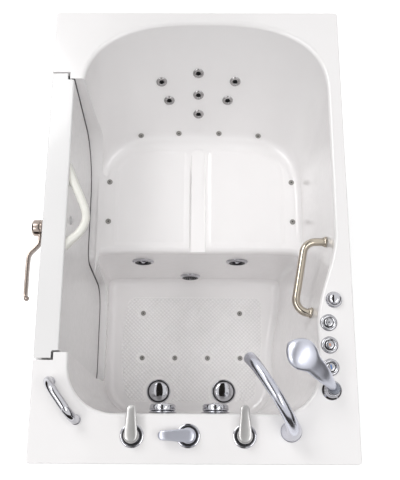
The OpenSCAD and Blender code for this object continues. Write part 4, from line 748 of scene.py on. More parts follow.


# Painted shade: a dark strip on the doorway's wall stands in for the shadow in the gap and shows as a dark line
# round the closed door
def madeDoorwayShadeStrip():
    x0, x1 = doorX + strip["from"], doorX + strip["to"]
    deep, near = (doorOutline(g, rim - 1) for g in (strip["sunk"], -strip["proud"]))
    order = list(range(1, len(deep))) + [0]
    return loft([[Vector((x, *side[i])) for x, side in ((x0, deep), (x1, deep), (x1, near), (x0, near))]
                 for i in order])


# the painted shade strip round the closed door
makePiece("doorwayShadeStrip", madeDoorwayShadeStrip(), "tub", "doorwayShadeStrip")

bow = {
    "wide": 12.5, "tall": 12, "down": 30, "flare": 5, "run": 26,
    "outs": (53 - door["thick"], 0, 14, 36, 52, 51, 34, 11, 52 - door["thick"]),
    "places": (180, 138, 106, 58, 13, -20, -52, -74, -104),
}


# A white bow whose ends spread out on the door's face
def madeGrabHandle():
    z = rim - bow["down"]
    path = curveThrough([(doorX + x, seatY + y, z) for x, y in zip(bow["outs"], bow["places"])], 96)
    ends = [bow["flare"] * smooth(1 - (p.x - doorX) / bow["run"]) for p in path]
    halves = [(bow["wide"] + 0.4 * s, bow["tall"] + s) for s in ends]
    bar = sweep(bmesh.new(), path, halves, (0, 0, 1), 32, 2.2)
    trim = block(bmesh.new(), (leftX + 40, seatY - 160, z - 40), (doorX - 0.4, seatY + 240, z + 40))
    return combined(bar, [("DIFFERENCE", trim)])


makePiece("doorGrabHandle", madeGrabHandle(), "door", "handleWhite",
          ["door_grab_handle"], 50)

cap = {"y": seatY + 2, "z": rim - 74, "profile": [(0, 0), (13, 0), (13, 2), (11, 4.2), (7, 5.2), (0, 5.5)]}
capMesh = lathe(bmesh.new(), cap["profile"], at(doorX, cap["y"], cap["z"]) @ turnY(90), 64, 0.6)
makePiece("doorRoundCap", capMesh, "door", "paleCap", ["door_cap"], 45)
print("door made")

lever = {"y": footY + 696, "z": rim - 80, "boss": 27, "rose": 12, "depth": 46, "blade": 10, "width": 24,
         "reach": 222, "out": 58, "bore": 6.1}
leverMatrix = at(leftX, lever["y"], lever["z"]) @ turnY(-90)


def madeLeverBoss():
    r, bore = lever["boss"], lever["bore"]
    return lathe(bmesh.new(), [
        (bore, 0.1), (r, 0.1), (r, 4), (r - 0.8, 5), (r - 0.8, 6), (r, 7), (r, 8.5), (r - 3.5, 12), (bore, 12)],
        leverMatrix, 80, 0.5)


def madeDoorLever():
    r, bore, t, wide = lever["boss"] - 2, lever["bore"], lever["blade"] / 2, lever["width"] / 2
    top = 12 + lever["depth"] - lever["rose"] - 0.4
    bm = lathe(bmesh.new(), [
        (bore, 12.3), (r, 12.3), (r + 1, 14.3), (r + 1, 18), (r - 0.4, 19), (r - 0.4, 20.2), (r + 1, 21.2),
        (r + 1, top - 6), (r - 3.5, top - 0.8), (r - 7, top), (0, top), (0, top - 8), (bore, top - 8)],
        leverMatrix, 80, 0.6)
    x, y, z, out = leftX - 22, lever["y"], lever["z"], leftX - lever["out"] + t
    path = curveThrough([(x, y - 14, z), (x, y - 48, z), (x - 12, y - 66, z), (out + 4, y - 84, z),
                         (out, y - 112, z), (out, y - lever["reach"], z)], 90)
    halves = [(t, wide)] * (len(path) - 3)
    halves += [(t * 0.96, wide * 0.97), (t * 0.8, wide * 0.85), (t * 0.5, wide * 0.6)]
    sweep(bm, path, halves, (0, 0, 1), 32, 5)
    return lathe(bm, [(0, -8)] + arc(0, 0, 8, -82, 82, 14) + [(0, 8)],
                 at(out + 3, y - lever["reach"], z), 40)


makePiece("doorLeverRose", madeLeverBoss(), "door", "leverBronze", ["lever_boss"], 40)
makePiece("doorLeverHandle", madeDoorLever(), "lever", "leverBronze", ["door_lever"], 40)

bars = {
    "radius": 12.2, "wallDown": 100, "wallYs": (seatY - 57, seatY - 280), "wallOff": 67, "sits": 6, "bend": 40,
    "flange": 16.5, "deckUp": 70, "deckRadius": 12.5, "deckBend": 46, "deckCollar": 14.5,
    "posts": ((leftX + 53, footY + 220), (leftX + 130, footY + 117)),
}
wallBarZ = rim - bars["wallDown"]


def wallSpot(y, off=0):
    return Vector((wallAt(y, wallBarZ) - off, y, wallBarZ))


def madeWallBar():
    (a, b), off, sits, r = bars["wallYs"], bars["wallOff"], bars["sits"], bars["radius"]
    spots = [wallSpot(a, sits), wallSpot(a, off), wallSpot(b, off - 12), wallSpot(b, sits)]
    path = bentPath(spots, bars["bend"])
    return sweep(bmesh.new(), evenly(path), (r, r), (0, 0, 1), 40)


def madeWallFlanges():
    bm, r, bore = bmesh.new(), bars["flange"], bars["radius"] + 0.1
    for y in bars["wallYs"]:
        swing = math.degrees(math.atan((wallAt(y + r, wallBarZ) - wallAt(y - r, wallBarZ)) / (2 * r)))
        place = at(*wallSpot(y)) @ turnZ(-swing) @ turnY(math.degrees(math.atan(tub["wallDraft"])) - 90)
        lathe(bm, [(bore, 1.2), (r, 1.2), (r, 5), (r - 0.9, 7.6), (r - 2, 9), (r - 2.6, 9.6), (r - 2.8, 12),
                   (bore, 12)], place, 64, 0.4)
    return bm


def madeDeckBar():
    (a, b), top, foot, r = bars["posts"], rim + bars["deckUp"], rim + 1, bars["deckRadius"]
    path = bentPath([(*a, foot), (*a, top), (*b, top), (*b, foot)], bars["deckBend"])
    flat = Vector((b[0] - a[0], b[1] - a[1], 0)).cross(Vector((0, 0, 1)))
    bm, r = sweep(bmesh.new(), evenly(path), (r, r), flat, 40), bars["deckCollar"]
    for p in (a, b):
        lathe(bm, [(8, 0.1), (r, 0.1), (r, 2), (r - 1.5, 4.2), (r - 3, 5), (8, 5)], at(*p, rim), 56, 0.4)
    return bm


makePiece("wallGrabBar", madeWallBar(), "tub", "warmNickel", ["wall_grab_bar"], 50)
makePiece("wallBarFlanges", madeWallFlanges(), "tub", "warmNickel", ["wall_bar_flanges"], 40)
makePiece("deckGrabBar", madeDeckBar(), "tub", "chrome", ["deck_grab_bar"], 50)
print("lever and bars made")

spout = {
    "x": 267, "y": footY + 88, "turn": 122, "reach": 226, "height": 165, "tube": 15.4, "flare": 13.4,
    "mouth": 1.6, "deep": 22, "base": 29.5, "sides": 48,
    "shares": ((0, 0), (0, 0.16), (0, 0.34), (0.05, 0.58), (0.2, 0.82), (0.42, 0.94), (0.66, 0.92), (0.86, 0.8),
               (0.98, 0.6)),
}


def madeSpout():
    tube, base = spout["tube"], spout["base"]
    path = curveThrough([(u * spout["reach"], 0, v * spout["height"]) for u, v in spout["shares"]], 120)
    radii = [tube + spout["flare"] * (1 - clamp(t / 13)) ** 1.25 + spout["mouth"] * smooth((t - 17) / 7)
             for t in steps(0, 24, 120)]
    end, r, aim = path[-1], radii[-1], (path[-1] - path[-2]).normalized()
    path[0] = path[0] + Vector((0, 0, 0.1))
    rings = sweepRings(path, [(radius, radius) for radius in radii], (0, 1, 0), spout["sides"])
    side, up, bore = *crossways(aim, (0, 1, 0)), tube - 0.6
    for shift, radius in ((0.6, r - 0.5), (0.9, r - 1.4), (0.6, tube), (-1, bore), (-spout["deep"], bore)):
        rings.append(sectionLoop(end + aim * (shift - 0.9), side, up, radius, radius, spout["sides"]))
    place = at(spout["x"], spout["y"], rim)
    body = place @ turnZ(spout["turn"])
    bm = joined(bmesh.new(), loft(rings), body)
    lathe(bm, [(0, 0), (base, 0), (base, 2), (base - 1.5, 3.4), (0, 3.4)], at(0, 0, 0.05) @ place, 72, 0.5)
    mouth = body @ Matrix.Translation(end - aim * 7) @ aim.to_track_quat("Z", "Y").to_matrix().to_4x4()
    return lathe(bm, [(0, -2), (tube - 0.7, -2), (tube - 0.7, 0), (9.5, 0.6), (9, -0.4), (6, 0.6),
                      (5.5, -0.4), (2, 0.6), (0, 0.6)], mouth, 48, skin=1)


makePiece("tubSpout", madeSpout(), "tub", "paleChrome darkThroat", ["spout"], 40)

valves = {"x": -16, "y": footY + 75, "pitch": 155, "flange": 33, "hub": 38, "drum": 20.5, "reach": 69,
          "blade": 13, "heel": 18, "thick": 3.9, "droop": 4}


def valvePlace(k):
    return at(valves["x"] + k * valves["pitch"], valves["y"], rim)


def madeValveFlanges():
    bm, r = bmesh.new(), valves["flange"]
    for k in (-1, 0, 1):
        lathe(bm, [(6.2, 0.1), (r, 0.1), (r, 2.6), (r - 1.2, 4.0), (r - 3.2, 4.6), (r - 5, 4.2), (26.6, 2.6),
                   (24.4, 3.6), (23, 6.5), (21.6, 10), (20.4, 14), (6.2, 14)], valvePlace(k), 80, 0.3)
        lathe(bm, [(24.4, 2.2), (27.2, 2.4), (27, 3.6), (24.6, 4)], valvePlace(k), 80, 0.15, skin=1)
    return bm


# A drum hub under a flat blade that is round over the hub and bends down at its tip
def madeValveLever(k, turn):
    bm, place, r = bmesh.new(), valvePlace(k) @ turnZ(turn), valves["drum"]
    lathe(bm, [(0, 14.3), (r, 14.3), (r + 1, 17.3), (r + 0.8, 22), (r - 0.1, 26.6), (r - 1.7, 30),
               (r - 4.1, 31.8), (0, 32)], place, 72, 0.4)
    drum(bm, 6, -40, 20, place, 32)
    reach, tip, heel, thick = valves["reach"], valves["blade"], valves["heel"], valves["thick"]
    places = [-heel * cosD(a) for a in steps(4, 90, 12)] + steps(0, reach, 30)[1:]
    places += [reach + tip * sinD(a) for a in steps(0, 86, 14)[1:]]
    path, halves = [], []
    for x in places:
        wide = lerp(heel, tip, smooth(x / reach))
        over = min(x / heel, 0) or max(0, x - reach) / tip
        end = math.sqrt(max(0.002, 1 - over * over))
        droop = max(0, (x - reach + tip) / (2 * tip)) ** 2
        path.append(Vector((x, 0, valves["hub"] - 5 + 2.5 * clamp(x / reach) - valves["droop"] * droop)))
        halves.append((thick * max(0.2, end), wide * end))
    return sweep(bm, path, halves, (0, 1, 0), 40, 3.0, place)


makePiece("valveFlanges", madeValveFlanges(), "tub", "chrome blackRing", ["valve_flanges"], 35)
for name, node, k, turn, finish in (("hotLever", "hot_lever", -1, 90, "leverGrey"),
                                    ("coldLever", "cold_lever", 1, 90, "leverGrey"),
                                    ("diverterLever", "diverter_lever", 0, 180, "showerSkin")):
    makePiece(name, madeValveLever(k, turn), node, finish, [node], 40)

shower = {"x": rightX - 74, "y": footY + 200, "turn": 142, "holder": 30, "wand": 10.5, "head": 43,
          "rise": 165, "across": 126, "ease": 10, "rows": ((7, 6), (14, 12), (21, 18), (26, 24))}
showerPlace = at(shower["x"], shower["y"], rim)


def madeShowerHolder():
    bore = shower["wand"] + 0.1
    return lathe(bmesh.new(), [
        (bore, -8), (14.7, -8), (14.7, 0.1), (28, 0.1), (28, 2.4), (26.4, 4.4), (24, 6), (21.5, 9), (20, 13),
        (19, 18), (19, 27.5), (18, 30), (bore, 30)], showerPlace, 72, 0.5)


def madeHandShower():
    r, rise, across, wand, holder = (shower[k] for k in ("head", "rise", "across", "wand", "holder"))
    stalk = curveThrough([(0, 0, holder + 0.3), (0, 0, holder + 10), (8, 0, holder + 26), (26, 0, 84),
                          (50, 0, 114), (across - 0.94 * r, 0, rise - 24)], 48)
    angles = steps(-55, 70, 22) + steps(72, 88, 8)
    path = stalk + [Vector((across + r * sinD(a), 0, rise - 2 - 12 * sinD(a - 30) ** 2)) for a in angles]
    shares = [smooth((i - 14) / 34) for i in range(len(stalk))]
    halves = [(wand - 1.2 * (1 - s) - 0.5 * s, wand - 1.2 * (1 - s) + 15.5 * s) for s in shares]
    halves += [(5 + 7 * cosD(a), r * cosD(a)) for a in angles]
    first, still = 6, 12
    for _ in range(shower["ease"]):   # eases the stalk into the head
        halves = halves[:1] + [tuple((halves[i - 1][j] + halves[i][j] + halves[i + 1][j]) / 3 for j in (0, 1))
                               for i in range(1, len(halves) - still)] + halves[-still:]
        path = path[:first] + [(path[i - 1] + path[i] + path[i + 1]) / 3
                               for i in range(first, len(path) - still)] + path[-still:]
    place = showerPlace @ turnZ(shower["turn"])
    bm = sweep(bmesh.new(), path, halves, (0, 1, 0), 48, 2.2, place)
    drum(bm, wand, -40, holder + 1, showerPlace, 48)
    lathe(bm, [(0, 30.6), (15.8, 30.6), (16.8, 31.6), (17, 40), (16.4, 49), (15, 50.4), (0, 50.4)], showerPlace,
          56, 0.3, skin=2)
    face = place @ at(across - 1, 0, rise - 5.5) @ turnY(-13.6 + 180)
    lathe(bm, [(0, 7), (31, 7), (34.5, 9.5), (35, 12), (33, 14.4), (30.5, 15), (29.5, 14), (0, 14)], face,
          72, 0.4)
    drum(bm, 29, 13.6, 14.6, face, 56, 0.3, skin=1)
    for ring, count in shower["rows"]:
        for i in range(count):
            lathe(bm, [(0, 0), (1.3, 0), (1.0, 1.2), (0, 1.3)],
                  face @ turnZ(360 * i / count) @ at(ring, 0, 14.5), 8, skin=1)
    return bm


makePiece("showerHolder", madeShowerHolder(), "tub", "chrome", ["shower_holder"], 35)
makePiece("handShower", madeHandShower(), "hand_shower", "showerSkin satinChrome collarGrey",
          ["hand_shower"], 40)
print("spout, valves and hand shower made")

drain = {"flange": 47, "bore": 22, "stopper": 38, "lift": 3.3, "tail": 20, "tailRadius": 26.5, "stem": 3}


def madeDrainFlanges():
    bm, r, bore, tail, neck = bmesh.new(), *(drain[k] for k in ("flange", "bore", "tail", "tailRadius"))
    for x in drainXs:
        place = at(x, drainY, floorZ)
        lathe(bm, [(bore, -tail), (neck, -tail), (neck, 0.1), (r, 0.1), (r + 0.1, 0.9), (r - 0.9, 2.2),
                   (r - 2.6, 3.0), (r - 4.6, 3.2), (r - 6.6, 2.8), (r - 8.4, 1.9), (r - 11, 1.5),
                   (bore + 4, 1.5), (bore, 0)], place, 96, 0.2)
        lathe(bm, [(38.7, 1.4), (43.6, 2.6), (43.4, 3.5), (38.7, 2.9)], place, 96, 0.15, skin=1)
        block(bm, (x - bore - 1, drainY - 2, floorZ - 18), (x + bore + 1, drainY + 2, floorZ - 12), 0.5)
        lathe(bm, [(3.1, -18), (8, -18), (8, -8), (3.1, -8)], place, 32, 0.5)
    return bm


def madeStopper(x):
    bm, r, place = bmesh.new(), drain["stopper"], at(x, drainY, floorZ + drain["lift"])
    lathe(bm, [(0, 0), (r - 1.2, 0), (r - 0.2, 0.6), (r, 1.4), (r - 0.5, 2.4)]
          + arc(0, 2.9, r - 1.2, 4, 86, 14, 6.1) + [(0, 9)], place, 96)
    drum(bm, drain["stem"], -40, 1, place, 24)
    return lathe(bm, [(29, -1.6), (r - 2, -1.6), (r - 1, -0.8), (r - 2, 0.1), (29, 0.1)], place, 64, skin=1)


makePiece("drainFlanges", madeDrainFlanges(), "tub", "chrome blackRing", ["drain_flanges"], 50)
for side, x in zip(("Left", "Right"), drainXs):
    makePiece("drainStopper" + side, madeStopper(x), "stopper_" + side.lower(), "chrome blackRing",
              ["drain_stopper_" + side.lower()], 50)

overflow = {"xs": (-90, 60), "z": rim - 47, "radius": 37, "neck": 21.5, "spindle": 6}
overflowY = wellFoot + tub["footDraft"] * (rim - overflow["z"] + overflow["radius"] + 3)


def overflowPlace(x, out):
    return at(x, overflowY + out, overflow["z"]) @ turnX(-90)


def madeOverflowPlates():
    bm, r, neck, bore = bmesh.new(), overflow["radius"], overflow["neck"], overflow["spindle"] + 0.2
    for x in overflow["xs"]:
        lathe(bm, [(bore, -24), (neck, -24), (neck, 0), (r + 3, 0), (r + 3, 1.6), (r, 3.6), (bore, 3.6)],
              overflowPlace(x, 0.3), 80, 0.4)
    return bm


# A shallow drum with a raised boss, one dark pin on its side and three dark dots on its face
def madeOverflowKnob(x):
    bm, r, place = bmesh.new(), overflow["radius"], overflowPlace(x, 4.6)
    lathe(bm, [(0, 0.1), (r - 4, 0.1), (r - 1, 2), (r, 4), (r, 14), (r - 0.8, 16.6), (r - 3, 18.8),
               (r - 6, 19.8), (r - 9, 20), (r - 12, 19), (r - 14, 17.5), (18, 16.2), (14, 16.2), (13, 18),
               (12, 22), (10.6, 23.4), (8, 24), (0, 24)], place, 96, 0.4)
    drum(bm, overflow["spindle"], -40, 1, place, 32)
    lathe(bm, [(0, -1), (3.1, -1), (3.1, 0.5), (2.4, 0.9), (0, 0.9)],
          place @ turnX(90) @ at(0, 8, r - 0.4), 24, skin=1)
    for k in range(3):
        lathe(bm, [(0, -1), (2.0, -1), (1.6, 0.5), (0, 0.6)],
              place @ turnZ(120 * k + 30) @ at(21, 0, 16.2), 16, skin=1)
    return bm


makePiece("overflowPlates", madeOverflowPlates(), "tub", "chrome", ["overflow_plates"], 35)
for side, x in zip(("Left", "Right"), overflow["xs"]):
    node = "overflow_knob_" + side.lower()
    makePiece("overflowKnob" + side, madeOverflowKnob(x), node, "chrome blackRing", [node], 35)
print("drains and overflows made")

controls = {
    "x": rightX - 74, "ys": (footY + 390, footY + 326, footY + 263), "bezel": 24.5, "button": 12,
    "neck": 15.7, "knob": (rightX - 56, footY + 457), "ribs": 12,
    "skins": ("darkMark", "orangeMark", "blueMark"),
    "marks": {"blower": [(0, 0, 4.4, 4.4, 0)],
              "pump": [(-1.6, 0, 1.5, 8, 12), (1.4, -0.6, 1.5, 8, 12)],
              "heater": [(0.4, 0.4, 3.4, 12, 10)]},
}


def madeBezels():
    bm, r, neck, bore = bmesh.new(), controls["bezel"], controls["neck"], controls["button"] + 0.3
    for y in controls["ys"]:
        place = at(controls["x"], y, rim)
        lathe(bm, [(bore + 2, -40), (neck, -40), (neck, 0.1), (r, 0.1), (r, 1.4), (r - 0.8, 2.6),
                   (r - 2.6, 4.1), (r - 5, 4.9), (r - 7.4, 4.7), (r - 9, 3.7), (bore + 2, 3.4)],
              place, 80, 0.15)
        lathe(bm, [(bore, -40), (bore + 2, -40), (bore + 2, 4.2), (bore + 1.4, 4.8), (bore, 4.6)],
              place, 64, 0.1, skin=1)
        drum(bm, neck, -44, -40, place, 40)
    return lathe(bm, [(6.1, -34), (12.7, -34), (12.7, 0.1), (24, 0.1), (24, 1.2), (23, 3), (6.1, 3)],
                 at(*controls["knob"], rim), 80, 0.4)


# The marks are generic: a dot, a pair of strokes and a bar, each by its place, sides and turn
def madeButton(y, marks):
    bm, r, place = bmesh.new(), controls["button"], at(controls["x"], y, rim)
    lathe(bm, [(0, -30), (r, -30), (r, 6.2), (r - 0.5, 7.4), (r - 1.5, 8), (r - 5, 8.35), (0, 8.5)], place, 64)
    for x, off, w, h, turn in marks:
        spot = place @ at(x, off, 8.3) @ turnZ(turn)
        if w == h:
            lathe(bm, [(0, 0), (w / 2, 0), (w / 2, 0.3), (0, 0.35)], spot, 24, skin=1)
        else:
            block(bm, (-w / 2, -h / 2, -0.1), (w / 2, h / 2, 0.3), 0.08, spot, 1)
    return bm


def madeAirKnob():
    bm, place = bmesh.new(), at(*controls["knob"], rim + 3.3)
    lathe(bm, [(0, 0), (19, 0), (20.4, 1.2), (21, 3), (20.9, 7), (20.2, 10.5), (18.6, 14), (16, 17), (12.6, 19),
               (8, 20.3), (3, 20.9), (0, 21)], place, 96)
    drum(bm, 6, -30, 1, place, 32)
    for k in range(controls["ribs"]):
        lathe(bm, [(0, 0), (1.1, 0), (1.1, 9), (0.6, 10.2), (0, 10.4)],
              place @ turnZ(360 / controls["ribs"] * k) @ at(20.5, 0, 1.5) @ turnY(-7), 12)
    return bm


makePiece("buttonBezels", madeBezels(), "tub", "satinChrome blackRing", ["button_bezels"], 40, True)
for (key, marks), y, skinName in zip(controls["marks"].items(), controls["ys"], controls["skins"]):
    makePiece(key + "Button", madeButton(y, marks), key + "_button", "satinChrome " + skinName,
              [key + "_button"], 35)
makePiece("airKnob", madeAirKnob(), "air_knob", "chrome", ["air_knob"], 40)
print("controls made")

jets = {"back": 18.5, "foot": 40, "neck": 28.4, "insert": 23, "cap": 10, "seatXs": (-318, 4, 344),
        "baseXs": (-206, -67, 80, 224), "baseZ": seatZ + 32, "seatYs": (seatY + 114, seatY + 265),
        "vanes": 3, "slots": 7, "slotPitch": 7.2, "slotHalf": 1.7, "grille": 25}


def madeBackJets():
    bm, r = bmesh.new(), jets["back"]
    for x, z in backJetSpots:
        place = backMatrix(backJetX + x, z)
        lathe(bm, [(0, -30), (12.5, -30), (12.5, 1), (r, 1), (r, 1.8), (r - 0.7, 3), (r - 2.4, 4.4),
                   (r - 4.6, 5), (r - 7, 4.6), (9, 3.6), (8, 2), (7.4, -5), (0, -5)], place, 56, 0.1)
        lathe(bm, [(0, -5.2), (7.3, -5.2), (7.3, 2.4), (6.6, 3), (5.8, 2.4), (5.4, -3.4), (0, -3.4)], place, 40,
              skin=1)
        lathe(bm, [(0, -3.5), (2.0, -3.5), (2.6, 0.6), (1.6, 2), (0, 2.2)], place, 24, skin=1)
    return bm


def footPlace(x, z=footJetZ):
    return at(x, seatY - 0.5, z) @ turnX(90)


def madeFootBezels():
    bm, r, neck, bore = bmesh.new(), jets["foot"], jets["neck"], jets["insert"] + 0.1
    for x in footJetXs:
        lathe(bm, [(bore, -40), (neck, -40), (neck, 0.1), (r, 0.1), (r, 1.4), (r - 1, 3.2), (r - 3, 5.4),
                   (r - 6, 6.8), (r - 8.5, 6.7), (r - 10, 5.6), (r - 14.4, 3.6), (bore, 2.6)],
              footPlace(x), 80, 0.15)
        lathe(bm, [(bore + 0.1, 2), (30, 5), (30.2, 6.3), (28.4, 6.5), (bore + 0.1, 4)], footPlace(x), 80, 0.15,
              skin=1)
    return bm


# The turning insert: a dark cup with three curved vanes and a chrome eye
def madeFootInsert(x):
    bm, r, place = bmesh.new(), jets["insert"], footPlace(x)
    lathe(bm, [(0, -36), (r, -36), (r, 3.2), (r - 0.8, 4.4), (r - 2.4, 5), (r - 4, 4.2), (r - 5, 2),
               (r - 6, -8), (9, -10), (0, -10)], place, 64, 0.1, skin=1)
    lathe(bm, [(0, -10.2), (6.4, -10.2), (7.6, -2), (7.2, 3.4), (5.8, 5.6), (4.6, 5.2), (4, 0), (0, -1)],
          place, 40, 0.2)
    path = [Vector((6.4 + 11.4 * t, 5.5 * math.sin(t * 2.2), 0.8 - 1.6 * t)) for t in steps(0, 1, 8)]
    for k in range(jets["vanes"]):
        sweep(bm, path, (1.5, 2.6), (0, 0, 1), 12, 3, place @ turnZ(360 / jets["vanes"] * k))
    return bm


def madeSuctionCover():
    r, neck, pitch, half = (jets[k] for k in ("foot", "neck", "slotPitch", "slotHalf"))
    slots, place = bmesh.new(), footPlace(suctionX, suctionZ)
    base = lathe(bmesh.new(), [
        (0, 2), (20, 2), (20, -40), (neck, -40), (neck, 0.1), (r, 0.1), (r, 1.4), (r - 1, 3), (r - 4, 6.4),
        (r - 8, 8.8), (r - 13, 10.4), (r - 20, 11.4), (12, 11.9), (0, 12)], None, 80)
    for k in range(jets["slots"]):
        x = (k - jets["slots"] // 2) * pitch
        reach = math.sqrt(max(0, jets["grille"] ** 2 - x ** 2))
        block(slots, (x - half, -reach, -1), (x + half, reach, 20))
    cover = combined(base, [("DIFFERENCE", slots)])
    for face in cover.faces:   # the dome is dark inside a chrome ring
        if face.calc_center_median().xy.length < r - 9:
            face.material_index = 1
    out = joined(bmesh.new(), cover, place)
    drum(out, 19.9, -1.5, 0.8, place, 48, skin=1)
    return lathe(out, [(0, 11.6), (4.4, 11.6), (4.4, 12.2), (3.2, 13), (0, 13.2)], place, 32)


def madeAirJets():
    bm, r = bmesh.new(), jets["cap"]
    places = [at(x, y, seatZ - drop) for x, drop in zip(jets["seatXs"], (0, tub["grooveDepth"], 0))
              for y in jets["seatYs"]]
    places += [backMatrix(x, jets["baseZ"]) @ at(0, 0, 1) for x in jets["baseXs"]]
    places += [at(x, y, floorZ) for x, y in floorJets]
    for place in places:
        lathe(bm, [(0, -22), (5, -22), (5, 0.25), (r, 0.25), (r, 1.1), (r - 0.7, 2), (r - 2.2, 2.9),
                   (r - 4, 3.2), (3.4, 3.2), (2.6, 2.8), (2.4, 1.2), (0, 1.2)], place, 40, 0.1)
        drum(bm, 2.4, 1.1, 2.0, place, 20, skin=1)
    return bm


makePiece("backJets", madeBackJets(), "tub", "jetSilver blackRing", ["back_jets"], 40)
makePiece("footJetBezels", madeFootBezels(), "tub", "chrome blackRing", ["foot_jet_bezels"], 40)
for side, x in zip(("Left", "Right"), footJetXs):
    node = "foot_jet_" + side.lower()
    makePiece("footJet" + side, madeFootInsert(x), node, "chrome darkThroat", [node], 40)
makePiece("suctionCover", madeSuctionCover(), "tub", "chrome darkThroat", ["suction_cover"], 35)
makePiece("airJets", madeAirJets(), "tub", "jetGrey blackRing", ["air_jets"], 40)
print("jets made")

panels = {"thick": 5, "toe": 30, "skirtIn": 3, "round": 1.4, "roundAngle": 50, "access": (78, 608, 80, 400),
          "accessRound": 0.9, "rail": 60, "waste": 40}
panelTop = rim - tub["flange"] - 0.3
frameX, frameY = rightX - wall, headY - wall


# A panel between two corners, cut by a solid and with its edges rounded
def cutPanel(low, high, cut=None):
    bm = block(bmesh.new(), low, high)
    if cut:
        bm = combined(bm, [("DIFFERENCE", cut)])
    softenEdges(bm, panels["round"], panels["roundAngle"])
    return bm


def madeFrontSkirt():
    inside, thick = panels["skirtIn"], panels["thick"]
    x0 = leftX + inside
    cut = prism(doorOutline(jambOut + door["lip"] + 0.6, rim + 10), x0 - 1, x0 + thick + 1)
    return cutPanel((x0, footY + inside, panels["toe"]), (x0 + thick, headY - inside, panelTop), cut)


def madeAccessPanel():
    y0, y1, z0, z1 = panels["access"]
    return block(bmesh.new(), (leftX + 0.3, seatY + y0, z0), (leftX + panels["skirtIn"], seatY + y1, z1),
                 panels["accessRound"])


def madeEndPanels():
    x, tail, waste, thick = frameX - 0.3, sum(drainXs) / 2, panels["waste"], panels["thick"]
    y0 = -frameY - thick
    cut = block(bmesh.new(), (tail - waste, y0 - 1, 0), (tail + waste, y0 + thick + 1, panels["rail"] + 10))
    bm = joined(bmesh.new(), cutPanel((-x, y0, panels["toe"]), (x, -frameY, panelTop), cut))
    return joined(bm, cutPanel((-x, frameY, panels["toe"]), (x, frameY + thick, panelTop)))


for name, bm, node in (("frontSkirt", madeFrontSkirt(), "front_skirt"),
                       ("accessPanel", madeAccessPanel(), "access_panel"),
                       ("endPanels", madeEndPanels(), "end_panels")):
    makePiece(name, bm, "tub", "panelSkin", [node], weighted=True)
print("panels made")

# The finishes of the CAD nodes that stay in view
keptNodes = {
    "stainless": ("tub_hinge_leaves", "door_hinge_leaves", "hinge_pins", "hinge_screws", "side_rails",
                  "cross_rails", "uprights", "top_rails", "panel_screws"),
    "latchSteel": ("door_stiffener", "lever_spindle", "latch_slide", "latch_keepers"),
    "doorSealRubber": ("door_seal",), "footRubber": ("levelling_feet",), "boxGrey": ("control_box",),
    "brass": ("valve_bodies", "mixer_pipes"), "motorPaint": ("water_pump", "air_blower"),
    "pipePlastic": ("waste_pipes", "jet_pipes", "air_pipes"),
}
for finish, names in keptNodes.items():
    for name in names:
        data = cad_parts[name].data
        data.materials.clear()
        data.materials.append(skinOf[finish])
print("CAD nodes finished")

# Each lamp has its place, sides and watts, and each card its two corners; both are in metres
studio = {
    "camera": (0.052, -0.689, 3.045), "pitch": 73.41, "yaw": 0.84, "roll": -0.61, "lens": 54.98,
    "world": 0.28, "floor": (0.9, 0.9, 0.9, 1), "floorRough": 0.8, "floorGlow": 0.5, "aim": (0, 0, 0.5),
    "lamps": {
        "keyLight": ((-4.0, -1.9, 8.0), (5.0, 1.8), 116), "headLight": ((-4.0, 4.4, 8.0), (3.8, 3.8), 200),
        "fillLight": ((4.0, -1.9, 8.0), (5.0, 1.2), 84), "topLight": ((0.2, -0.9, 8.0), (3.8, 3.8), 160)},
    "cards": {
        "middleCard": ((-0.95, -4.5, 5.6), (0.6, 4.5, 5.62)),
        "footCard": ((-3.4, -3.6, 0.2), (3.0, -3.58, 2.4)),
        "wallCard": ((3.2, -3.2, 0.2), (3.22, 1.2, 1.9)),
        "doorCard": ((-3.6, -3.2, 0.1), (-3.58, 3.2, 2.3))},
}
scene, white = bpy.context.scene, (1, 1, 1, 1)
camera = bpy.data.objects.new("camera", bpy.data.cameras.new("camera"))
scene.collection.objects.link(camera)
camera.location = studio["camera"]
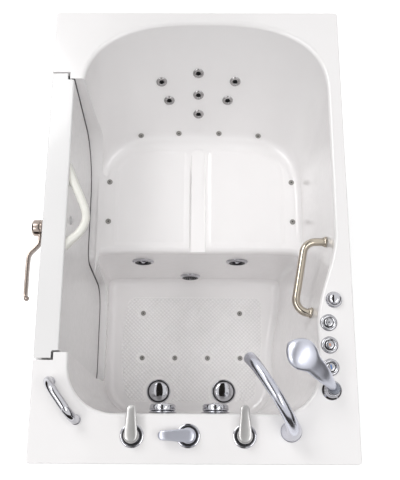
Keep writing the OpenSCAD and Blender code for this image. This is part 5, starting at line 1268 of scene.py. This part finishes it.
camera.rotation_euler = (turnZ(studio["yaw"]) @ turnX(90 - studio["pitch"]) @ turnZ(studio["roll"])).to_euler()
camera.data.lens = studio["lens"]
scene.camera = camera

for name, (spot, size, power) in studio["lamps"].items():
    light = bpy.data.lights.new(name, "AREA")
    light.shape, light.size, light.size_y, light.energy = "RECTANGLE", *size, power
    lamp = bpy.data.objects.new(name, light)
    lamp.location = spot
    lamp.rotation_euler = (Vector(studio["aim"]) - Vector(spot)).to_track_quat("-Z", "Y").to_euler()
    lamp.visible_glossy = name != "topLight"   # it would show as a blot in the chrome
    scene.collection.objects.link(lamp)

# Dark cards that only reflections see, as a photographer's flags
for name, corners in studio["cards"].items():
    card = linkedObject(cube(*corners), name)
    card.data.materials.append(skinOf["cardBlack"])
    card.visible_camera = card.visible_diffuse = card.visible_shadow = False


# 1 for the camera and in reflections, 0 for everything else
def seenDirectly(tree):
    rays = addNode(tree, "LightPath").outputs
    seen = rays["Is Camera Ray"]
    for ray in ("Is Glossy Ray", "Is Transmission Ray"):
        either = addNode(tree, "Math", {}, {0: seen, 1: rays[ray]})
        either.operation = "MAXIMUM"
        seen = either.outputs[0]
    return seen


world = bpy.data.worlds.new("studioWorld")
scene.world = world
world.use_nodes = True
tree = world.node_tree
level = addNode(tree, "MapRange", {"To Min": studio["world"], "To Max": 1.0}, {"Value": seenDirectly(tree)})
wire(tree, tree.nodes["Background"], {"Color": white}, {"Strength": level.outputs["Result"]})

floorMesh = bmesh.new()
bmesh.ops.create_grid(floorMesh, x_segments=1, y_segments=1, size=20)
studioFloor = linkedObject(floorMesh, "studioFloor")
floorMaterial = bpy.data.materials.new("studioFloor")
floorMaterial.use_nodes = True
tree = floorMaterial.node_tree
glow = addNode(tree, "MapRange", {"To Max": studio["floorGlow"]}, {"Value": seenDirectly(tree)})
wire(tree, tree.nodes["Principled BSDF"],
     {"Base Color": studio["floor"], "Roughness": studio["floorRough"], "Emission Color": white},
     {"Emission Strength": glow.outputs["Result"]})
studioFloor.data.materials.append(floorMaterial)
scene.view_settings.view_transform = "Standard"

print("scene complete")
